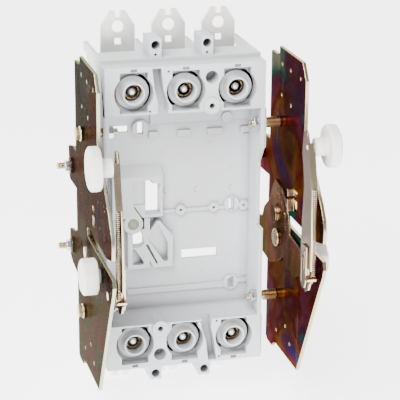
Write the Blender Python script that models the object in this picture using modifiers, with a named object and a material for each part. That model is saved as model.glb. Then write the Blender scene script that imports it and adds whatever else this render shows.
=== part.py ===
"""Three-pole plug-in base with draw-out side plates for a moulded-case circuit breaker.

Metres, +Z up, +X to the right seen from the front, front towards -Y. The origin lies on the rear mounting
plane, on the upright middle rib. Depths are measured backwards from the base's front face.
"""

import math

import bmesh
import bpy
from mathutils import Matrix, Vector

MM = 0.001
GAP = 0.3 * MM  # between pieces that would touch

# Base moulding
POLE_PITCH = 45 * MM
BASE_HALF_WIDTH = 70 * MM
BASE_DEPTH = 94 * MM
WALL = 3.5 * MM
FLOOR_DEPTH = 38 * MM
FLOOR_THICK = 3.5 * MM
BLOCK_INNER_Z = 95 * MM
BLOCK_FACE_Z = 136.3 * MM
DECK_Z = 139.8 * MM
DECK_DEPTH = 17 * MM
BLOCK_DEPTH = 46 * MM
CHAMBER_Z = 98.5 * MM
THROUGH_FLOOR = (FLOOR_DEPTH - 12 * MM, FLOOR_DEPTH + FLOOR_THICK + MM)
FIN_THICK = 3 * MM
RIB_THICK = 5 * MM
SOCKET_Z = 113.5 * MM
POCKET_R = 17 * MM
POCKET_HALF_WIDTH = 12 * MM
POCKET_DEPTH = 10.3 * MM
SOCKET_BORE_R = 11.2 * MM
LUG_X = POLE_PITCH / 2
LUG_WIDTH = 10.6 * MM
LUG_DEPTH = (17 * MM, 43 * MM)
LUG_Z = 156 * MM

# Contacts and terminals
COLLAR_R = 9.9 * MM
COLLAR_BORE_R = 8.3 * MM
TULIP_R = 7.7 * MM
PIN_R = 3.5 * MM
TERMINAL_DEPTH = (65 * MM, 69 * MM)
TERMINAL_HALF_WIDTH = 15.2 * MM
TERMINAL_TOP_Z = 171 * MM

# Side assemblies, X measured outwards from the middle
PLATE_X = (85.6 * MM, 88.6 * MM)
CAM_X = (83.4 * MM, 85.3 * MM)
LEVER_X = (77.2 * MM, 79 * MM)
LEVER_WEB_X = 83 * MM
SLIDE_X = (75.1 * MM, 76.8 * MM)
SPACER_AT = (8 * MM, 80 * MM)  # depth, height; the lower one mirrored
SPACER_R = 4.7 * MM
BOLT_R = 2.9 * MM
BOLT_BORE_R = 3.3 * MM
STUD_AT = (60 * MM, 37 * MM)
STUD_R = 2.8 * MM
LEVER_PIVOT = (-97 * MM, -26 * MM)
PIVOT_SLOT = 6 * MM
PIN_NECK_R = 3.5 * MM
CAM_PIVOT = (2 * MM, -24 * MM)
CAM_PIN_R = 5 * MM
CAM_BOSS_AT = (7 * MM, -3 * MM)
CAM_BOSS_R = 8.3 * MM
LOCK_AT = (-66 * MM, -20 * MM)
KNOB_AT = (-93.3 * MM, 86 * MM)
KNOB_R = 18 * MM
KNOB_STEM_R = 7.6 * MM
KNOB_NECK_R = 1.9 * MM
KNOB_X = (93.2 * MM, 102.3 * MM)
LOCK_R = 15.2 * MM
LOCK_X = (91.3 * MM, 104.5 * MM)
LOCK_SHAFT_R = 6 * MM
LEVER_DROP = {"left": 6 * MM, "right": 0.0}  # how far down its slotted end each lever stands

PLUG_AT = (-39.5 * MM, -12.2 * MM)  # x and height
PLUG_R = 5 * MM
PLUG_BOSS_R = 8.8 * MM
PANEL_DEPTH = 30 * MM

ROUND_SIDES = 20
SMALL_SIDES = 12

GREY_PLASTIC = ("grey_plastic", (0.62, 0.63, 0.64), 0.5, 0.0)
IVORY_PLASTIC = ("ivory_plastic", (0.82, 0.82, 0.77), 0.4, 0.0)
OLIVE_PLASTIC = ("olive_plastic", (0.33, 0.33, 0.25), 0.5, 0.0)
PLATED_COPPER = ("plated_copper", (0.80, 0.77, 0.70), 0.35, 1.0)
BRASS = ("brass", (0.48, 0.36, 0.18), 0.35, 1.0)
PLATED_STEEL = ("yellow_plated_steel", (0.30, 0.22, 0.19), 0.35, 1.0)
SPRING_STEEL = ("spring_steel", (0.60, 0.52, 0.36), 0.35, 1.0)
ZINC_STEEL = ("zinc_steel", (0.66, 0.68, 0.72), 0.3, 1.0)
FASTENER_YELLOW = ("yellow_fastener", (0.62, 0.54, 0.32), 0.35, 1.0)


def clear_scene():
    for obj in list(bpy.data.objects):
        bpy.data.objects.remove(obj, do_unlink=True)


def new_collection(name):
    collection = bpy.data.collections.new(name)
    bpy.context.scene.collection.children.link(collection)
    return collection


clear_scene()
PARTS = new_collection("breaker_plug_in_base")
CUTTERS = new_collection("cutters")


def material(spec):
    name, colour, roughness, metallic = spec
    found = bpy.data.materials.get(name)
    if found:
        return found
    made = bpy.data.materials.new(name)
    made.use_nodes = True
    shader = made.node_tree.nodes["Principled BSDF"]
    shader.inputs["Base Color"].default_value = (*colour, 1)
    shader.inputs["Roughness"].default_value = roughness
    shader.inputs["Metallic"].default_value = metallic
    made.diffuse_color = (*colour, 1)
    return made


def depth(distance):
    """The Y of a place that lies this far behind the base's front face."""
    return distance - BASE_DEPTH


def add_object(name, mesh, finish=None):
    """Links a mesh as a part, or as a hidden cutter if it has no finish."""
    obj = bpy.data.objects.new(name, mesh)
    if finish:
        mesh.materials.append(material(finish))
        PARTS.objects.link(obj)
    else:
        CUTTERS.objects.link(obj)
        obj.hide_render = True
        obj.display_type = "WIRE"
    return obj


def box(name, x, d, z, finish=None):
    """A block between two X, two depths and two heights."""
    low = Vector((min(x), depth(min(d)), min(z)))
    high = Vector((max(x), depth(max(d)), max(z)))
    bm = bmesh.new()
    bmesh.ops.create_cube(bm, size=1)
    size = high - low
    bmesh.ops.scale(bm, vec=size, verts=bm.verts)
    bmesh.ops.translate(bm, vec=(low + high) / 2, verts=bm.verts)
    mesh = bpy.data.meshes.new(name)
    bm.to_mesh(mesh)
    bm.free()
    return add_object(name, mesh, finish)


def rod(name, axis, at, span, radius, sides=ROUND_SIDES, finish=None):
    """A cylinder along X or Y. at is its (depth, z) or (x, z), and span its two X or two depths."""
    length = abs(span[1] - span[0])
    middle = (span[0] + span[1]) / 2
    bm = bmesh.new()
    bmesh.ops.create_cone(
        bm, cap_ends=True, segments=sides, radius1=radius, radius2=radius, depth=length
    )
    if axis == "X":
        turn = Matrix.Rotation(math.pi / 2, 4, "Y")
        place = Vector((middle, depth(at[0]), at[1]))
    else:
        turn = Matrix.Rotation(math.pi / 2, 4, "X")
        place = Vector((at[0], depth(middle), at[1]))
    bmesh.ops.transform(bm, matrix=Matrix.Translation(place) @ turn, verts=bm.verts)
    mesh = bpy.data.meshes.new(name)
    bm.to_mesh(mesh)
    bm.free()
    return add_object(name, mesh, finish)


def mesh_of_curve(curve_object, name, finish):
    """The curve's shape as a welded mesh object, in its place; the curve is removed."""
    graph = bpy.context.evaluated_depsgraph_get()
    mesh = bpy.data.meshes.new_from_object(curve_object.evaluated_get(graph))
    mesh.transform(curve_object.matrix_world)
    bm = bmesh.new()
    bm.from_mesh(mesh)
    bmesh.ops.remove_doubles(bm, verts=bm.verts, dist=1e-6)
    bmesh.ops.recalc_face_normals(bm, faces=bm.faces)
    bm.to_mesh(mesh)
    bm.free()
    mesh.materials.clear()
    bpy.data.objects.remove(curve_object, do_unlink=True)
    return add_object(name, mesh, finish)


def flat_shape(name, outline, facing, span, finish=None):
    """An outline extruded between two X (facing X, in depth and z) or two depths (facing Y, in x and z)."""
    curve = bpy.data.curves.new(name, "CURVE")
    curve.dimensions = "2D"
    curve.fill_mode = "BOTH"
    curve.extrude = abs(span[1] - span[0]) / 2
    spline = curve.splines.new("POLY")
    spline.points.add(len(outline) - 1)
    for point, (a, b) in zip(spline.points, outline):
        point.co = (a, b, 0, 1)
    spline.use_cyclic_u = True
    obj = bpy.data.objects.new(name, curve)
    bpy.context.scene.collection.objects.link(obj)
    middle = (span[0] + span[1]) / 2
    if facing == "X":
        axes = Matrix(((0, 0, 1), (1, 0, 0), (0, 1, 0))).to_4x4()
        place = Vector((middle, -BASE_DEPTH, 0))
    else:
        axes = Matrix(((1, 0, 0), (0, 0, -1), (0, 1, 0))).to_4x4()
        place = Vector((0, depth(middle), 0))
    obj.matrix_world = Matrix.Translation(place) @ axes
    bpy.context.view_layer.update()
    return mesh_of_curve(obj, name, finish)


def turned(name, profile, axis, at, finish, sides=ROUND_SIDES):
    """A turned piece: (position along the axis, radius) pairs, closed on the axis or as a ring."""
    mesh = bpy.data.meshes.new(name)
    bm = bmesh.new()
    corners = [bm.verts.new((radius, 0, along)) for along, radius in profile]
    closed = all(radius > 0 for _, radius in profile)
    pairs = list(zip(corners, corners[1:] + corners[:1] if closed else corners[1:]))
    for first, second in pairs:
        bm.edges.new((first, second))
    bm.to_mesh(mesh)
    bm.free()
    obj = add_object(name, mesh, finish)
    screw = obj.modifiers.new("Turn", "SCREW")
    screw.axis = "Z"
    screw.steps = screw.render_steps = sides
    screw.use_merge_vertices = True
    screw.merge_threshold = 1e-6
    screw.use_normal_calculate = True
    if axis == "X":
        turn = Matrix(((0, 0, 1), (0, 1, 0), (-1, 0, 0))).to_4x4()
        place = Vector((0, depth(at[0]), at[1]))
    else:
        turn = Matrix(((1, 0, 0), (0, 0, 1), (0, -1, 0))).to_4x4()
        place = Vector((at[0], -BASE_DEPTH, at[1]))
    obj.matrix_world = Matrix.Translation(place) @ turn
    bpy.context.view_layer.update()
    return smooth(solidified(obj))


def sloped_block(name, outline, near, hinge, far):
    """A cutter in front of a sloping plane: an (x, z) outline from one depth down to the plane.

    The plane holds the two (x, z, depth) points of hinge and the one of far.
    """
    first, second, third = (Vector((x * MM, depth(d * MM), z * MM)) for x, z, d in (*hinge, far))
    normal = (second - first).cross(third - first)
    bm = bmesh.new()
    front = [bm.verts.new((x * MM, depth(near), z * MM)) for x, z in outline]
    back = []
    for x, z in outline:
        across = normal.x * (x * MM - first.x) + normal.z * (z * MM - first.z)
        back.append(bm.verts.new((x * MM, first.y - across / normal.y, z * MM)))
    bm.faces.new(front)
    bm.faces.new(reversed(back))
    for index in range(len(front)):
        after = (index + 1) % len(front)
        bm.faces.new((front[after], front[index], back[index], back[after]))
    bmesh.ops.recalc_face_normals(bm, faces=bm.faces)
    mesh = bpy.data.meshes.new(name)
    bm.to_mesh(mesh)
    bm.free()
    return add_object(name, mesh)


def solidified(obj):
    """Replaces an object's mesh with its evaluated shape in world space, faces outwards."""
    bpy.context.view_layer.update()
    graph = bpy.context.evaluated_depsgraph_get()
    mesh = bpy.data.meshes.new_from_object(obj.evaluated_get(graph))
    mesh.transform(obj.matrix_world)
    bm = bmesh.new()
    bm.from_mesh(mesh)
    bmesh.ops.remove_doubles(bm, verts=bm.verts, dist=1e-6)
    bmesh.ops.recalc_face_normals(bm, faces=bm.faces)
    bm.to_mesh(mesh)
    bm.free()
    obj.modifiers.clear()
    obj.data = mesh
    obj.matrix_world = Matrix.Identity(4)
    return obj


def smooth(obj):
    """Shades a round piece smooth, keeping its corners sharp."""
    obj.data.shade_smooth()
    obj.data.set_sharp_from_angle(angle=math.radians(35))
    return obj


def origin_at(obj, x, at):
    """Moves an object's origin to an X and a (depth, z), leaving its shape where it is."""
    origin = Vector((x, depth(at[0]), at[1]))
    obj.data.transform(Matrix.Translation(-origin))
    obj.location = origin
    return obj


def combine(obj, others, operation):
    """Joins other shapes to an object, or cuts them from it."""
    for other in others:
        boolean = obj.modifiers.new(operation.title(), "BOOLEAN")
        boolean.operation = operation
        boolean.solver = "EXACT"
        boolean.object = other
    return obj


def cut(obj, *cutters):
    return combine(obj, cutters, "DIFFERENCE")


def join(obj, *pieces):
    return combine(obj, pieces, "UNION")


def pole_centres():
    for sign, row in ((1, "upper"), (-1, "lower")):
        for index, side in enumerate(("left", "middle", "right")):
            yield row, side, (index - 1) * POLE_PITCH, sign * SOCKET_Z, sign


# --- Base -----------------------------------------------------------------------------------------


def middle_cavities():
    """The open front of the middle, and the hollow behind the floor on each side of the upright rib."""
    inside = BASE_HALF_WIDTH - WALL
    behind = FLOOR_DEPTH + FLOOR_THICK
    yield box("cut_front", (-inside, inside), (-MM, FLOOR_DEPTH), (-BLOCK_INNER_Z, BLOCK_INNER_Z))
    for side in (1, -1):
        yield box(
            f"cut_behind_{side}",
            (side * RIB_THICK / 2, side * inside),
            (behind, BASE_DEPTH + MM),
            (-BLOCK_INNER_Z, BLOCK_INNER_Z),
        )


def end_chambers(sign):
    """Three terminal chambers, open to the end and the rear, with fins between the poles."""
    inside = BASE_HALF_WIDTH - WALL
    edges = [-inside, -LUG_X - FIN_THICK / 2, -LUG_X + FIN_THICK / 2]
    edges += [-edges[2], -edges[1], inside]
    for index in range(3):
        yield box(
            f"cut_chamber_{sign}_{index}",
            (edges[2 * index], edges[2 * index + 1]),
            (BLOCK_DEPTH, BASE_DEPTH + MM),
            (sign * CHAMBER_Z, sign * (DECK_Z + MM)),
        )


def wall_cuts():
    """The low front edge of the side walls in the middle, the stepped rear edge, and the front strip."""
    wide = (-BASE_HALF_WIDTH - MM, BASE_HALF_WIDTH + MM)
    low_edge = [(-1, 60.4), (11, 44), (11, -14), (-1, -14)]
    yield flat_shape("cut_low_edge", [(d * MM, z * MM) for d, z in low_edge], "X", wide)
    for sign in (1, -1):
        strip = (sign * BLOCK_FACE_Z, sign * (DECK_Z + MM))
        yield box(f"cut_strip_{sign}", wide, (-MM, DECK_DEPTH), strip)
        notch = [(72, 104), (95, 104), (95, 132), (82, 132), (72, 122)]
        outline = [(d * MM, sign * z * MM) for d, z in notch]
        for side in (1, -1):
            wall = (side * (BASE_HALF_WIDTH - WALL - GAP), side * (BASE_HALF_WIDTH + MM))
            yield flat_shape(f"cut_rear_{sign}_{side}", outline, "X", wall)


def socket_pocket(row, side, x, z, sign):
    """A pocket with a round wall and a square-cut top and bottom, and the bore behind it."""
    yield rod(f"cut_pocket_{row}_{side}", "Y", (x, z), (-MM, POCKET_DEPTH), POCKET_R)
    yield box(
        f"cut_notch_{row}_{side}",
        (x - POCKET_HALF_WIDTH, x + POCKET_HALF_WIDTH),
        (-MM, POCKET_DEPTH - MM),
        (z + sign * 18 * MM, z - sign * 16.5 * MM),
    )
    bore = (POCKET_DEPTH - MM, BLOCK_DEPTH + MM)
    yield rod(f"cut_bore_{row}_{side}", "Y", (x, z), bore, SOCKET_BORE_R)


def end_holes(sign):
    """The deep screw hole, the holes in the lugs and in the round boss, and the slanting groove."""
    x = LUG_X * sign
    holes = (
        ("deep", (x, sign * 124.5 * MM), (-MM, 16 * MM), 5.6 * MM, ROUND_SIDES),
        ("boss", (x, sign * 99.8 * MM), (-4 * MM, 12 * MM), 2.4 * MM, SMALL_SIDES),
        ("lug_a", (-LUG_X, sign * 150.4 * MM), (16 * MM, 36 * MM), 3.8 * MM, 16),
        ("lug_b", (LUG_X, sign * 150.4 * MM), (16 * MM, 36 * MM), 3.8 * MM, 16),
        ("pilot_a", (-LUG_X, sign * 142.2 * MM), (16 * MM, 22 * MM), 1.2 * MM, 8),
        ("pilot_b", (LUG_X, sign * 142.2 * MM), (16 * MM, 22 * MM), 1.2 * MM, 8),
    )
    for name, at, span, radius, sides in holes:
        yield rod(f"cut_{name}_{sign}", "Y", at, span, radius, sides)
    outline = [(a * sign * MM, b * sign * MM) for a, b in GROOVE]
    yield flat_shape(f"cut_groove_{sign}", outline, "Y", (-MM, 14 * MM))


GROOVE = [  # x and z in millimetres, at the upper end
    (-29, 134.4), (-21.5, 134.4), (-19.5, 116), (-15, 102), (-16, 94), (-25, 94), (-24, 104), (-26.8, 116),
]  # fmt: skip
FLOOR_WINDOWS = {  # x and z of each opening through the floor, in millimetres
    "oblong": ((-55.3, -42.4), (70.2, 75.8)),
    "upright": ((-34.6, -29.2), (68.2, 79)),
    "guide": ((-38.5, -29.5), (-34, -22)),
    "long": ((6, 38.8), (-50.5, -42.2)),
    "ridge": ((48.6, 53.9), (-7.2, 3.8)),
    "foot": ((48.6, 54.1), (-81.8, -71)),
}
PANEL_WINDOW = [(-28.6, -3.4), (-15.6, -3.4), (-15.6, 24.2), (-22.7, 24.2), (-22.7, 27.4), (-28.6, 27.4)]


def floor_windows():
    for name, (x, z) in FLOOR_WINDOWS.items():
        height = (z[0] * MM, z[1] * MM)
        yield box(f"cut_window_{name}", (x[0] * MM, x[1] * MM), THROUGH_FLOOR, height)
    outline = [(x * MM, z * MM) for x, z in PANEL_WINDOW]
    yield flat_shape("cut_window_panel", outline, "Y", THROUGH_FLOOR)
    yield rod("cut_plug", "Y", PLUG_AT, THROUGH_FLOOR, PLUG_R)


def floor_reliefs():
    """Raised bands, ridges, bosses and tabs on the floor, all moulded with it."""
    back = FLOOR_DEPTH + 0.5 * MM

    def block(name, x, z, rise):
        return box(
            f"add_{name}",
            (x[0] * MM, x[1] * MM),
            (FLOOR_DEPTH - rise * MM, back),
            (z[0] * MM, z[1] * MM),
        )

    yield block("ledge", (-23, 66.8), (76.5, 95.2), 2)
    yield block("ridge", (-16.4, 47), (-6, -3), 1.6)
    yield block("lower_ridge", (-44, 47), (-80.6, -75.2), 1.6)
    yield block("lower_ridge_end", (56, 66.8), (-77.4, -73.4), 1.6)
    for index, (low, high) in enumerate(((-24, -16), (1.5, 13.5), (28.5, 42.5), (58.5, 66.8))):
        yield block(f"tab_{index}", (low, high), (64, 69.4), 1.8)
    for name, x, z, radius, rise in (
        ("slot_boss_a", -31.8, 73.5, 7.2, 3),
        ("slot_boss_b", 51.4, -1.6, 7, 2.4),
        ("slot_boss_c", 51.5, -76.2, 7, 2.4),
        ("boss_a", 4.5, -3.7, 4.6, 3),
        ("boss_b", 34.7, -3.4, 4.4, 3),
        ("boss_c", 62.4, -3.4, 4.6, 3),
        ("boss_d", 45.2, 79.5, 4.6, 5),
    ):
        span = (FLOOR_DEPTH - rise * MM, back)
        yield rod(f"add_{name}", "Y", (x * MM, z * MM), span, radius * MM, 20)


def raised_panel():
    """The raised left panel with its sloping top, and the plug's boss below it."""
    slope = [(38.5, 41), (30, 31), (30, -6.6), (38.5, -6.6)]
    outline = [(d * MM, z * MM) for d, z in slope]
    yield flat_shape("add_panel", outline, "X", (-58 * MM, -13 * MM))
    yield rod("add_plug_boss", "Y", PLUG_AT, (PANEL_DEPTH, FLOOR_DEPTH + 0.5 * MM), PLUG_BOSS_R, 32)


def base_moulding():
    wide = BASE_HALF_WIDTH
    body = box("base_moulding", (-wide, wide), (0, BASE_DEPTH), (-DECK_Z, DECK_Z), GREY_PLASTIC)
    cut(body, *middle_cavities())
    for sign in (1, -1):
        cut(body, *end_chambers(sign))
    cut(body, *wall_cuts())
    join(body, *floor_reliefs())
    join(body, *raised_panel())
    cut(body, box("cut_panel", (-55 * MM, -33 * MM), (34 * MM, 42 * MM), (2 * MM, 25 * MM)))
    for sign in (1, -1):
        at = (LUG_X * sign, sign * 99.8 * MM)
        join(body, rod(f"add_boss_{sign}", "Y", at, (-1.6 * MM, 20 * MM), 7.3 * MM))
        for lug in (-LUG_X, LUG_X):
            edges = (lug - LUG_WIDTH / 2, lug + LUG_WIDTH / 2)
            height = (sign * (DECK_Z - 2 * MM), sign * LUG_Z)
            join(body, box(f"add_lug_{sign}_{lug:.3f}", edges, LUG_DEPTH, height))
    for row, side, x, z, sign in pole_centres():
        cut(body, *socket_pocket(row, side, x, z, sign))
    for sign in (1, -1):
        cut(body, *end_holes(sign))
    cut(body, *floor_windows())
    for side in (1, -1):
        for end in (1, -1):
            wall = (side * (BASE_HALF_WIDTH - 2 * WALL), side * (BASE_HALF_WIDTH + MM))
            at = (SPACER_AT[0], end * SPACER_AT[1])
            cut(body, rod(f"cut_bolt_{side}_{end}", "X", at, wall, BOLT_BORE_R, SMALL_SIDES))
    for name, x, z in (("a", 4.5, -3.7), ("b", 34.7, -3.4), ("c", 62.4, -3.4)):
        span = (FLOOR_DEPTH - 4 * MM, FLOOR_DEPTH)
        cut(body, rod(f"cut_pilot_{name}", "Y", (x * MM, z * MM), span, 1.3 * MM, 8))
    return body


GUIDE_OUTLINE = [
    (-44.5, -17), (-29.6, -17), (-29.6, -7), (-24.6, -7), (-24.6, -19), (-18.6, -10.4), (-15.6, -10.4),
    (-3.7, -25.4), (-3.7, -54), (-21.3, -54), (-24.9, -47), (-24.9, -54), (-44.5, -54),
]  # fmt: skip
GUIDE_HOLE = [
    (-40, -19), (-32.6, -19), (-31, -23), (-29.8, -27), (-29.8, -30.6), (-33.6, -33.6), (-40, -33.6),
]  # fmt: skip
GUIDE_POCKETS = (  # outline, two points on the floor's shallow edge and one at its deepest, in millimetres
    (
        ((-40.2, -35.2), (-38.4, -35.2), (-30, -48.2), (-30.6, -50), (-40.2, -50)),
        ((-40.2, -35.2, 33), (-40.2, -50, 32)),
        (-30.6, -50, 36.8),
    ),
    (
        ((-28.6, -32), (-26.2, -32), (-17.6, -49.6), (-18.6, -50.8), (-21, -46)),
        ((-28.6, -32, 35), (-18.6, -50.8, 36.6)),
        (-26.2, -32, 35.6),
    ),
    (
        ((-17.4, -13.2), (-26.6, -26.6), (-23.6, -31), (-12, -48.6), (-8.4, -48.6), (-8.4, -31.4)),
        ((-17.4, -13.2, 30.4), (-26.6, -26.6, 30.4)),
        (-8.4, -48.6, 37),
    ),
)


def auxiliary_guide():
    """The guide for the auxiliary plug: sloping fins between pockets with sloping floors."""
    back = FLOOR_DEPTH - GAP
    front = PANEL_DEPTH
    outline = [(x * MM, z * MM) for x, z in GUIDE_OUTLINE]
    body = flat_shape("auxiliary_guide", outline, "Y", (front, back), GREY_PLASTIC)
    for index, (pocket, hinge, far) in enumerate(GUIDE_POCKETS):
        cut(body, sloped_block(f"cut_pocket_{index}", pocket, front - 2 * MM, hinge, far))
    hole = [(x * MM, z * MM) for x, z in GUIDE_HOLE]
    cut(body, flat_shape("cut_guide_hole", hole, "Y", (front - MM, back + MM)))
    cut(body, rod("cut_guide_boss", "Y", PLUG_AT, (front - 2 * MM, back + 2 * MM), PLUG_BOSS_R + GAP, 32))
    return body


def inspection_plug():
    front = PANEL_DEPTH + 0.2 * MM
    radius = PLUG_R - GAP
    profile = (
        (front, 0),
        (front, radius - 0.5 * MM),
        (front + 0.5 * MM, radius),
        (40 * MM, radius),
        (40 * MM, 0),
    )
    return turned("inspection_plug", profile, "Y", PLUG_AT, OLIVE_PLASTIC)


def socket_collar(row, side, x, z):
    """A plastic ring whose flange lies on the pocket's floor."""
    front = -0.4 * MM
    flange = POCKET_DEPTH - GAP
    profile = (
        (front, COLLAR_BORE_R),
        (front, COLLAR_R),
        (flange - 3 * MM, COLLAR_R),
        (flange - 3 * MM, 14.6 * MM),
        (flange, 14.6 * MM),
        (flange, SOCKET_BORE_R - GAP),
        (26 * MM, SOCKET_BORE_R - GAP),
        (26 * MM, COLLAR_BORE_R),
    )
    return turned(f"{row}_{side}_collar", profile, "Y", (x, z), GREY_PLASTIC)


def tulip_contact(row, side, x, z):
    """A sprung brass tube, slit into fingers at its mouth."""
    profile = (
        (9 * MM, 6.1 * MM),
        (9 * MM, 6.9 * MM),
        (12 * MM, TULIP_R),
        (44 * MM, TULIP_R),
        (44 * MM, 6.4 * MM),
    )
    body = turned(f"{row}_{side}_tulip_contact", profile, "Y", (x, z), BRASS, 16)
    for index in range(2):
        slit = box(
            f"cut_slit_{row}_{side}_{index}", (-9 * MM, 9 * MM), (8 * MM, 34 * MM), (-0.6 * MM, 0.6 * MM)
        )
        turn = Matrix.Rotation(math.pi / 4 + index * math.pi / 2, 4, "Y")
        slit.data.transform(Matrix.Translation((x, 0, z)) @ turn)
        cut(body, slit)
    return body


def terminal(row, side, x, z, sign):
    """A flat bar with a hole, a square hole and an end notch, and the round contact pin on its front."""
    half = TERMINAL_HALF_WIDTH
    near = (CHAMBER_Z + 1.5 * MM) * sign
    top = TERMINAL_TOP_Z * sign
    shoulder = 158 * MM * sign
    notch = 2.3 * MM
    floor = 165.2 * MM * sign
    outline = [
        (x - half, near),
        (x + half, near),
        (x + half, shoulder),
        (x + 7 * MM, top),
        (x + notch, top),
        (x + notch, floor),
        (x - notch, floor),
        (x - notch, top),
        (x - 7 * MM, top),
        (x - half, shoulder),
    ]
    name = f"{row}_{side}_terminal"
    body = flat_shape(name, outline, "Y", TERMINAL_DEPTH, PLATED_COPPER)
    span = (TERMINAL_DEPTH[0] - MM, TERMINAL_DEPTH[1] + MM)
    cut(body, rod(f"cut_round_{name}", "Y", (x, 157.5 * MM * sign), span, 5.25 * MM))
    square = (x - 2.8 * MM, x + 2.8 * MM)
    cut(body, box(f"cut_square_{name}", square, span, (141.7 * MM * sign, 147.3 * MM * sign)))
    steps = ((7, 0), (7.3, 1.9), (8.4, 3.1), (10.4, 3.5), (66, 3.5), (66, 0))
    profile = [(a * MM, r * MM) for a, r in steps]
    pin = turned(f"add_pin_{name}", profile, "Y", (x, z), PLATED_COPPER, 16)
    PARTS.objects.unlink(pin)
    CUTTERS.objects.link(pin)
    pin.hide_render = True
    pin.display_type = "WIRE"
    return join(body, pin)


# --- Side assemblies ------------------------------------------------------------------------------

PLATE_OUTLINE = [  # depth and height in millimetres, from the rear top corner forwards
    (36, 137), (19, 137), (13, 139.5), (13, 145.5), (-50, 145.5), (-60, 132), (-60, 91), (-80, 66.5),
    (-95, 52), (-106, 40.5), (-113.5, 30), (-116.5, 20), (-115, 10), (-96, 5.2), (-16, 5.2), (-12.7, 3.6),
    (-11.5, 0.5), (-12.7, -2.6), (-16, -4.2), (-96, -4.8), (-116, -5), (-118.5, -12), (-116, -19),
    (-109, -30.5), (-58.5, -121), (-56, -127), (6, -127), (12, -129), (17, -134), (31, -134), (36, -131),
    (36, -56), (60, -54), (71.5, -50), (71.5, -25), (46, -19.5), (36, -16), (36, 23), (67, 22),
    (71.5, 26), (71.5, 52), (50, 57), (36, 57),
]  # fmt: skip
PLATE_HOLES = [
    (4.5, 131.5), (-19.5, 131.3), (-46.3, 130.8), (4, 104.5), (-22, 101.5), (-21.9, -99.6), (3.7, -113.5),
    (-35.6, -111.2),
]  # fmt: skip
CAM_OUTLINE = [
    (12, 27), (-6, 24.5), (-20, 16), (-30, 5), (-33.5, -10), (-60, -12), (-80, -15), (-88, -21), (-87, -31),
    (-78, -38), (-67, -39), (-61, -37), (-56, -39), (-49, -43), (-42, -43), (-36, -39.5), (-30, -43),
    (-24, -43), (-16, -36), (0, -46), (22, -54), (42, -52), (51, -38), (51, -26), (42, -8), (27, 3),
]  # fmt: skip
CAM_HOLES = [(-6, 17), (-13, 11), (-20, 4)]
LEVER_OUTLINE = [
    (-83, 97), (-92, 98), (-96, 90), (-106, 54), (-110, 10), (-110, -24), (-105, -33), (-97, -37),
    (-89, -33), (-83.5, -12), (-84.5, 22), (-88, 53), (-81, 79),
]  # fmt: skip
LEVER_WEB = [(-96, 90), (-106, 54), (-104.4, 54), (-94.4, 90)]
SLIDE_OUTLINE = [(-104, 4), (-92, 4), (-90, -26), (-92, -31), (-96, -33.5), (-101, -32), (-104, -27)]
SLIDE_SLOTS = (((-102.4, -99.6), (-16, 1)), ((-96, -93.4), (-28, -6)))  # depths and heights
SLIDE_RIVETS = ((-101, -0.2), (-94.7, -7.2))
SPRING_SEAT = (-24, -22)  # heights


def to_metres(outline, drop=0.0):
    return [(a * MM, b * MM - drop) for a, b in outline]


def outwards(hand, span):
    """Two distances outwards from the middle, as X on the left (hand -1) or the right (+1)."""
    return tuple(hand * value for value in span)


def handed(hand, profile):
    """A profile along X, turned outwards on the left (hand -1) or the right (+1)."""
    return [(hand * along, radius) for along, radius in profile]


def side_plate(side, hand):
    span = outwards(hand, PLATE_X)
    body = flat_shape(f"{side}_side_plate", to_metres(PLATE_OUTLINE), "X", span, PLATED_STEEL)
    through = outwards(hand, (PLATE_X[0] - MM, PLATE_X[1] + MM))
    for low, high in ((13, 24), (26.5, 32.5)):
        reach = outwards(hand, (PLATE_X[0] - 6 * MM, PLATE_X[0] + MM))
        join(body, box(f"add_tab_{side}_{low}", reach, (-37.5 * MM, -35 * MM), (low * MM, high * MM)))
        window = (-45 * MM, -38 * MM)
        cut(body, box(f"cut_tab_{side}_{low}", through, window, ((low + 1) * MM, (high - 1) * MM)))
    cut(body, box(f"cut_sight_{side}", through, (-16 * MM, -4 * MM), (-24 * MM, -16 * MM)))
    round_holes = [(d * MM, z * MM, 2 * MM, 10) for d, z in PLATE_HOLES]
    for end in (1, -1):
        round_holes.append((SPACER_AT[0], end * SPACER_AT[1], BOLT_BORE_R, SMALL_SIDES))
        round_holes.append((STUD_AT[0], end * STUD_AT[1], STUD_R + GAP, SMALL_SIDES))
    round_holes.append((*LEVER_PIVOT, PIN_NECK_R + GAP, SMALL_SIDES))
    round_holes.append((*CAM_PIVOT, CAM_PIN_R + GAP, 16))
    round_holes.append((*LOCK_AT, LOCK_SHAFT_R + GAP, 16))
    for index, (d, z, radius, sides) in enumerate(round_holes):
        cut(body, rod(f"cut_hole_{side}_{index}", "X", (d, z), through, radius, sides))
    return body


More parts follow.
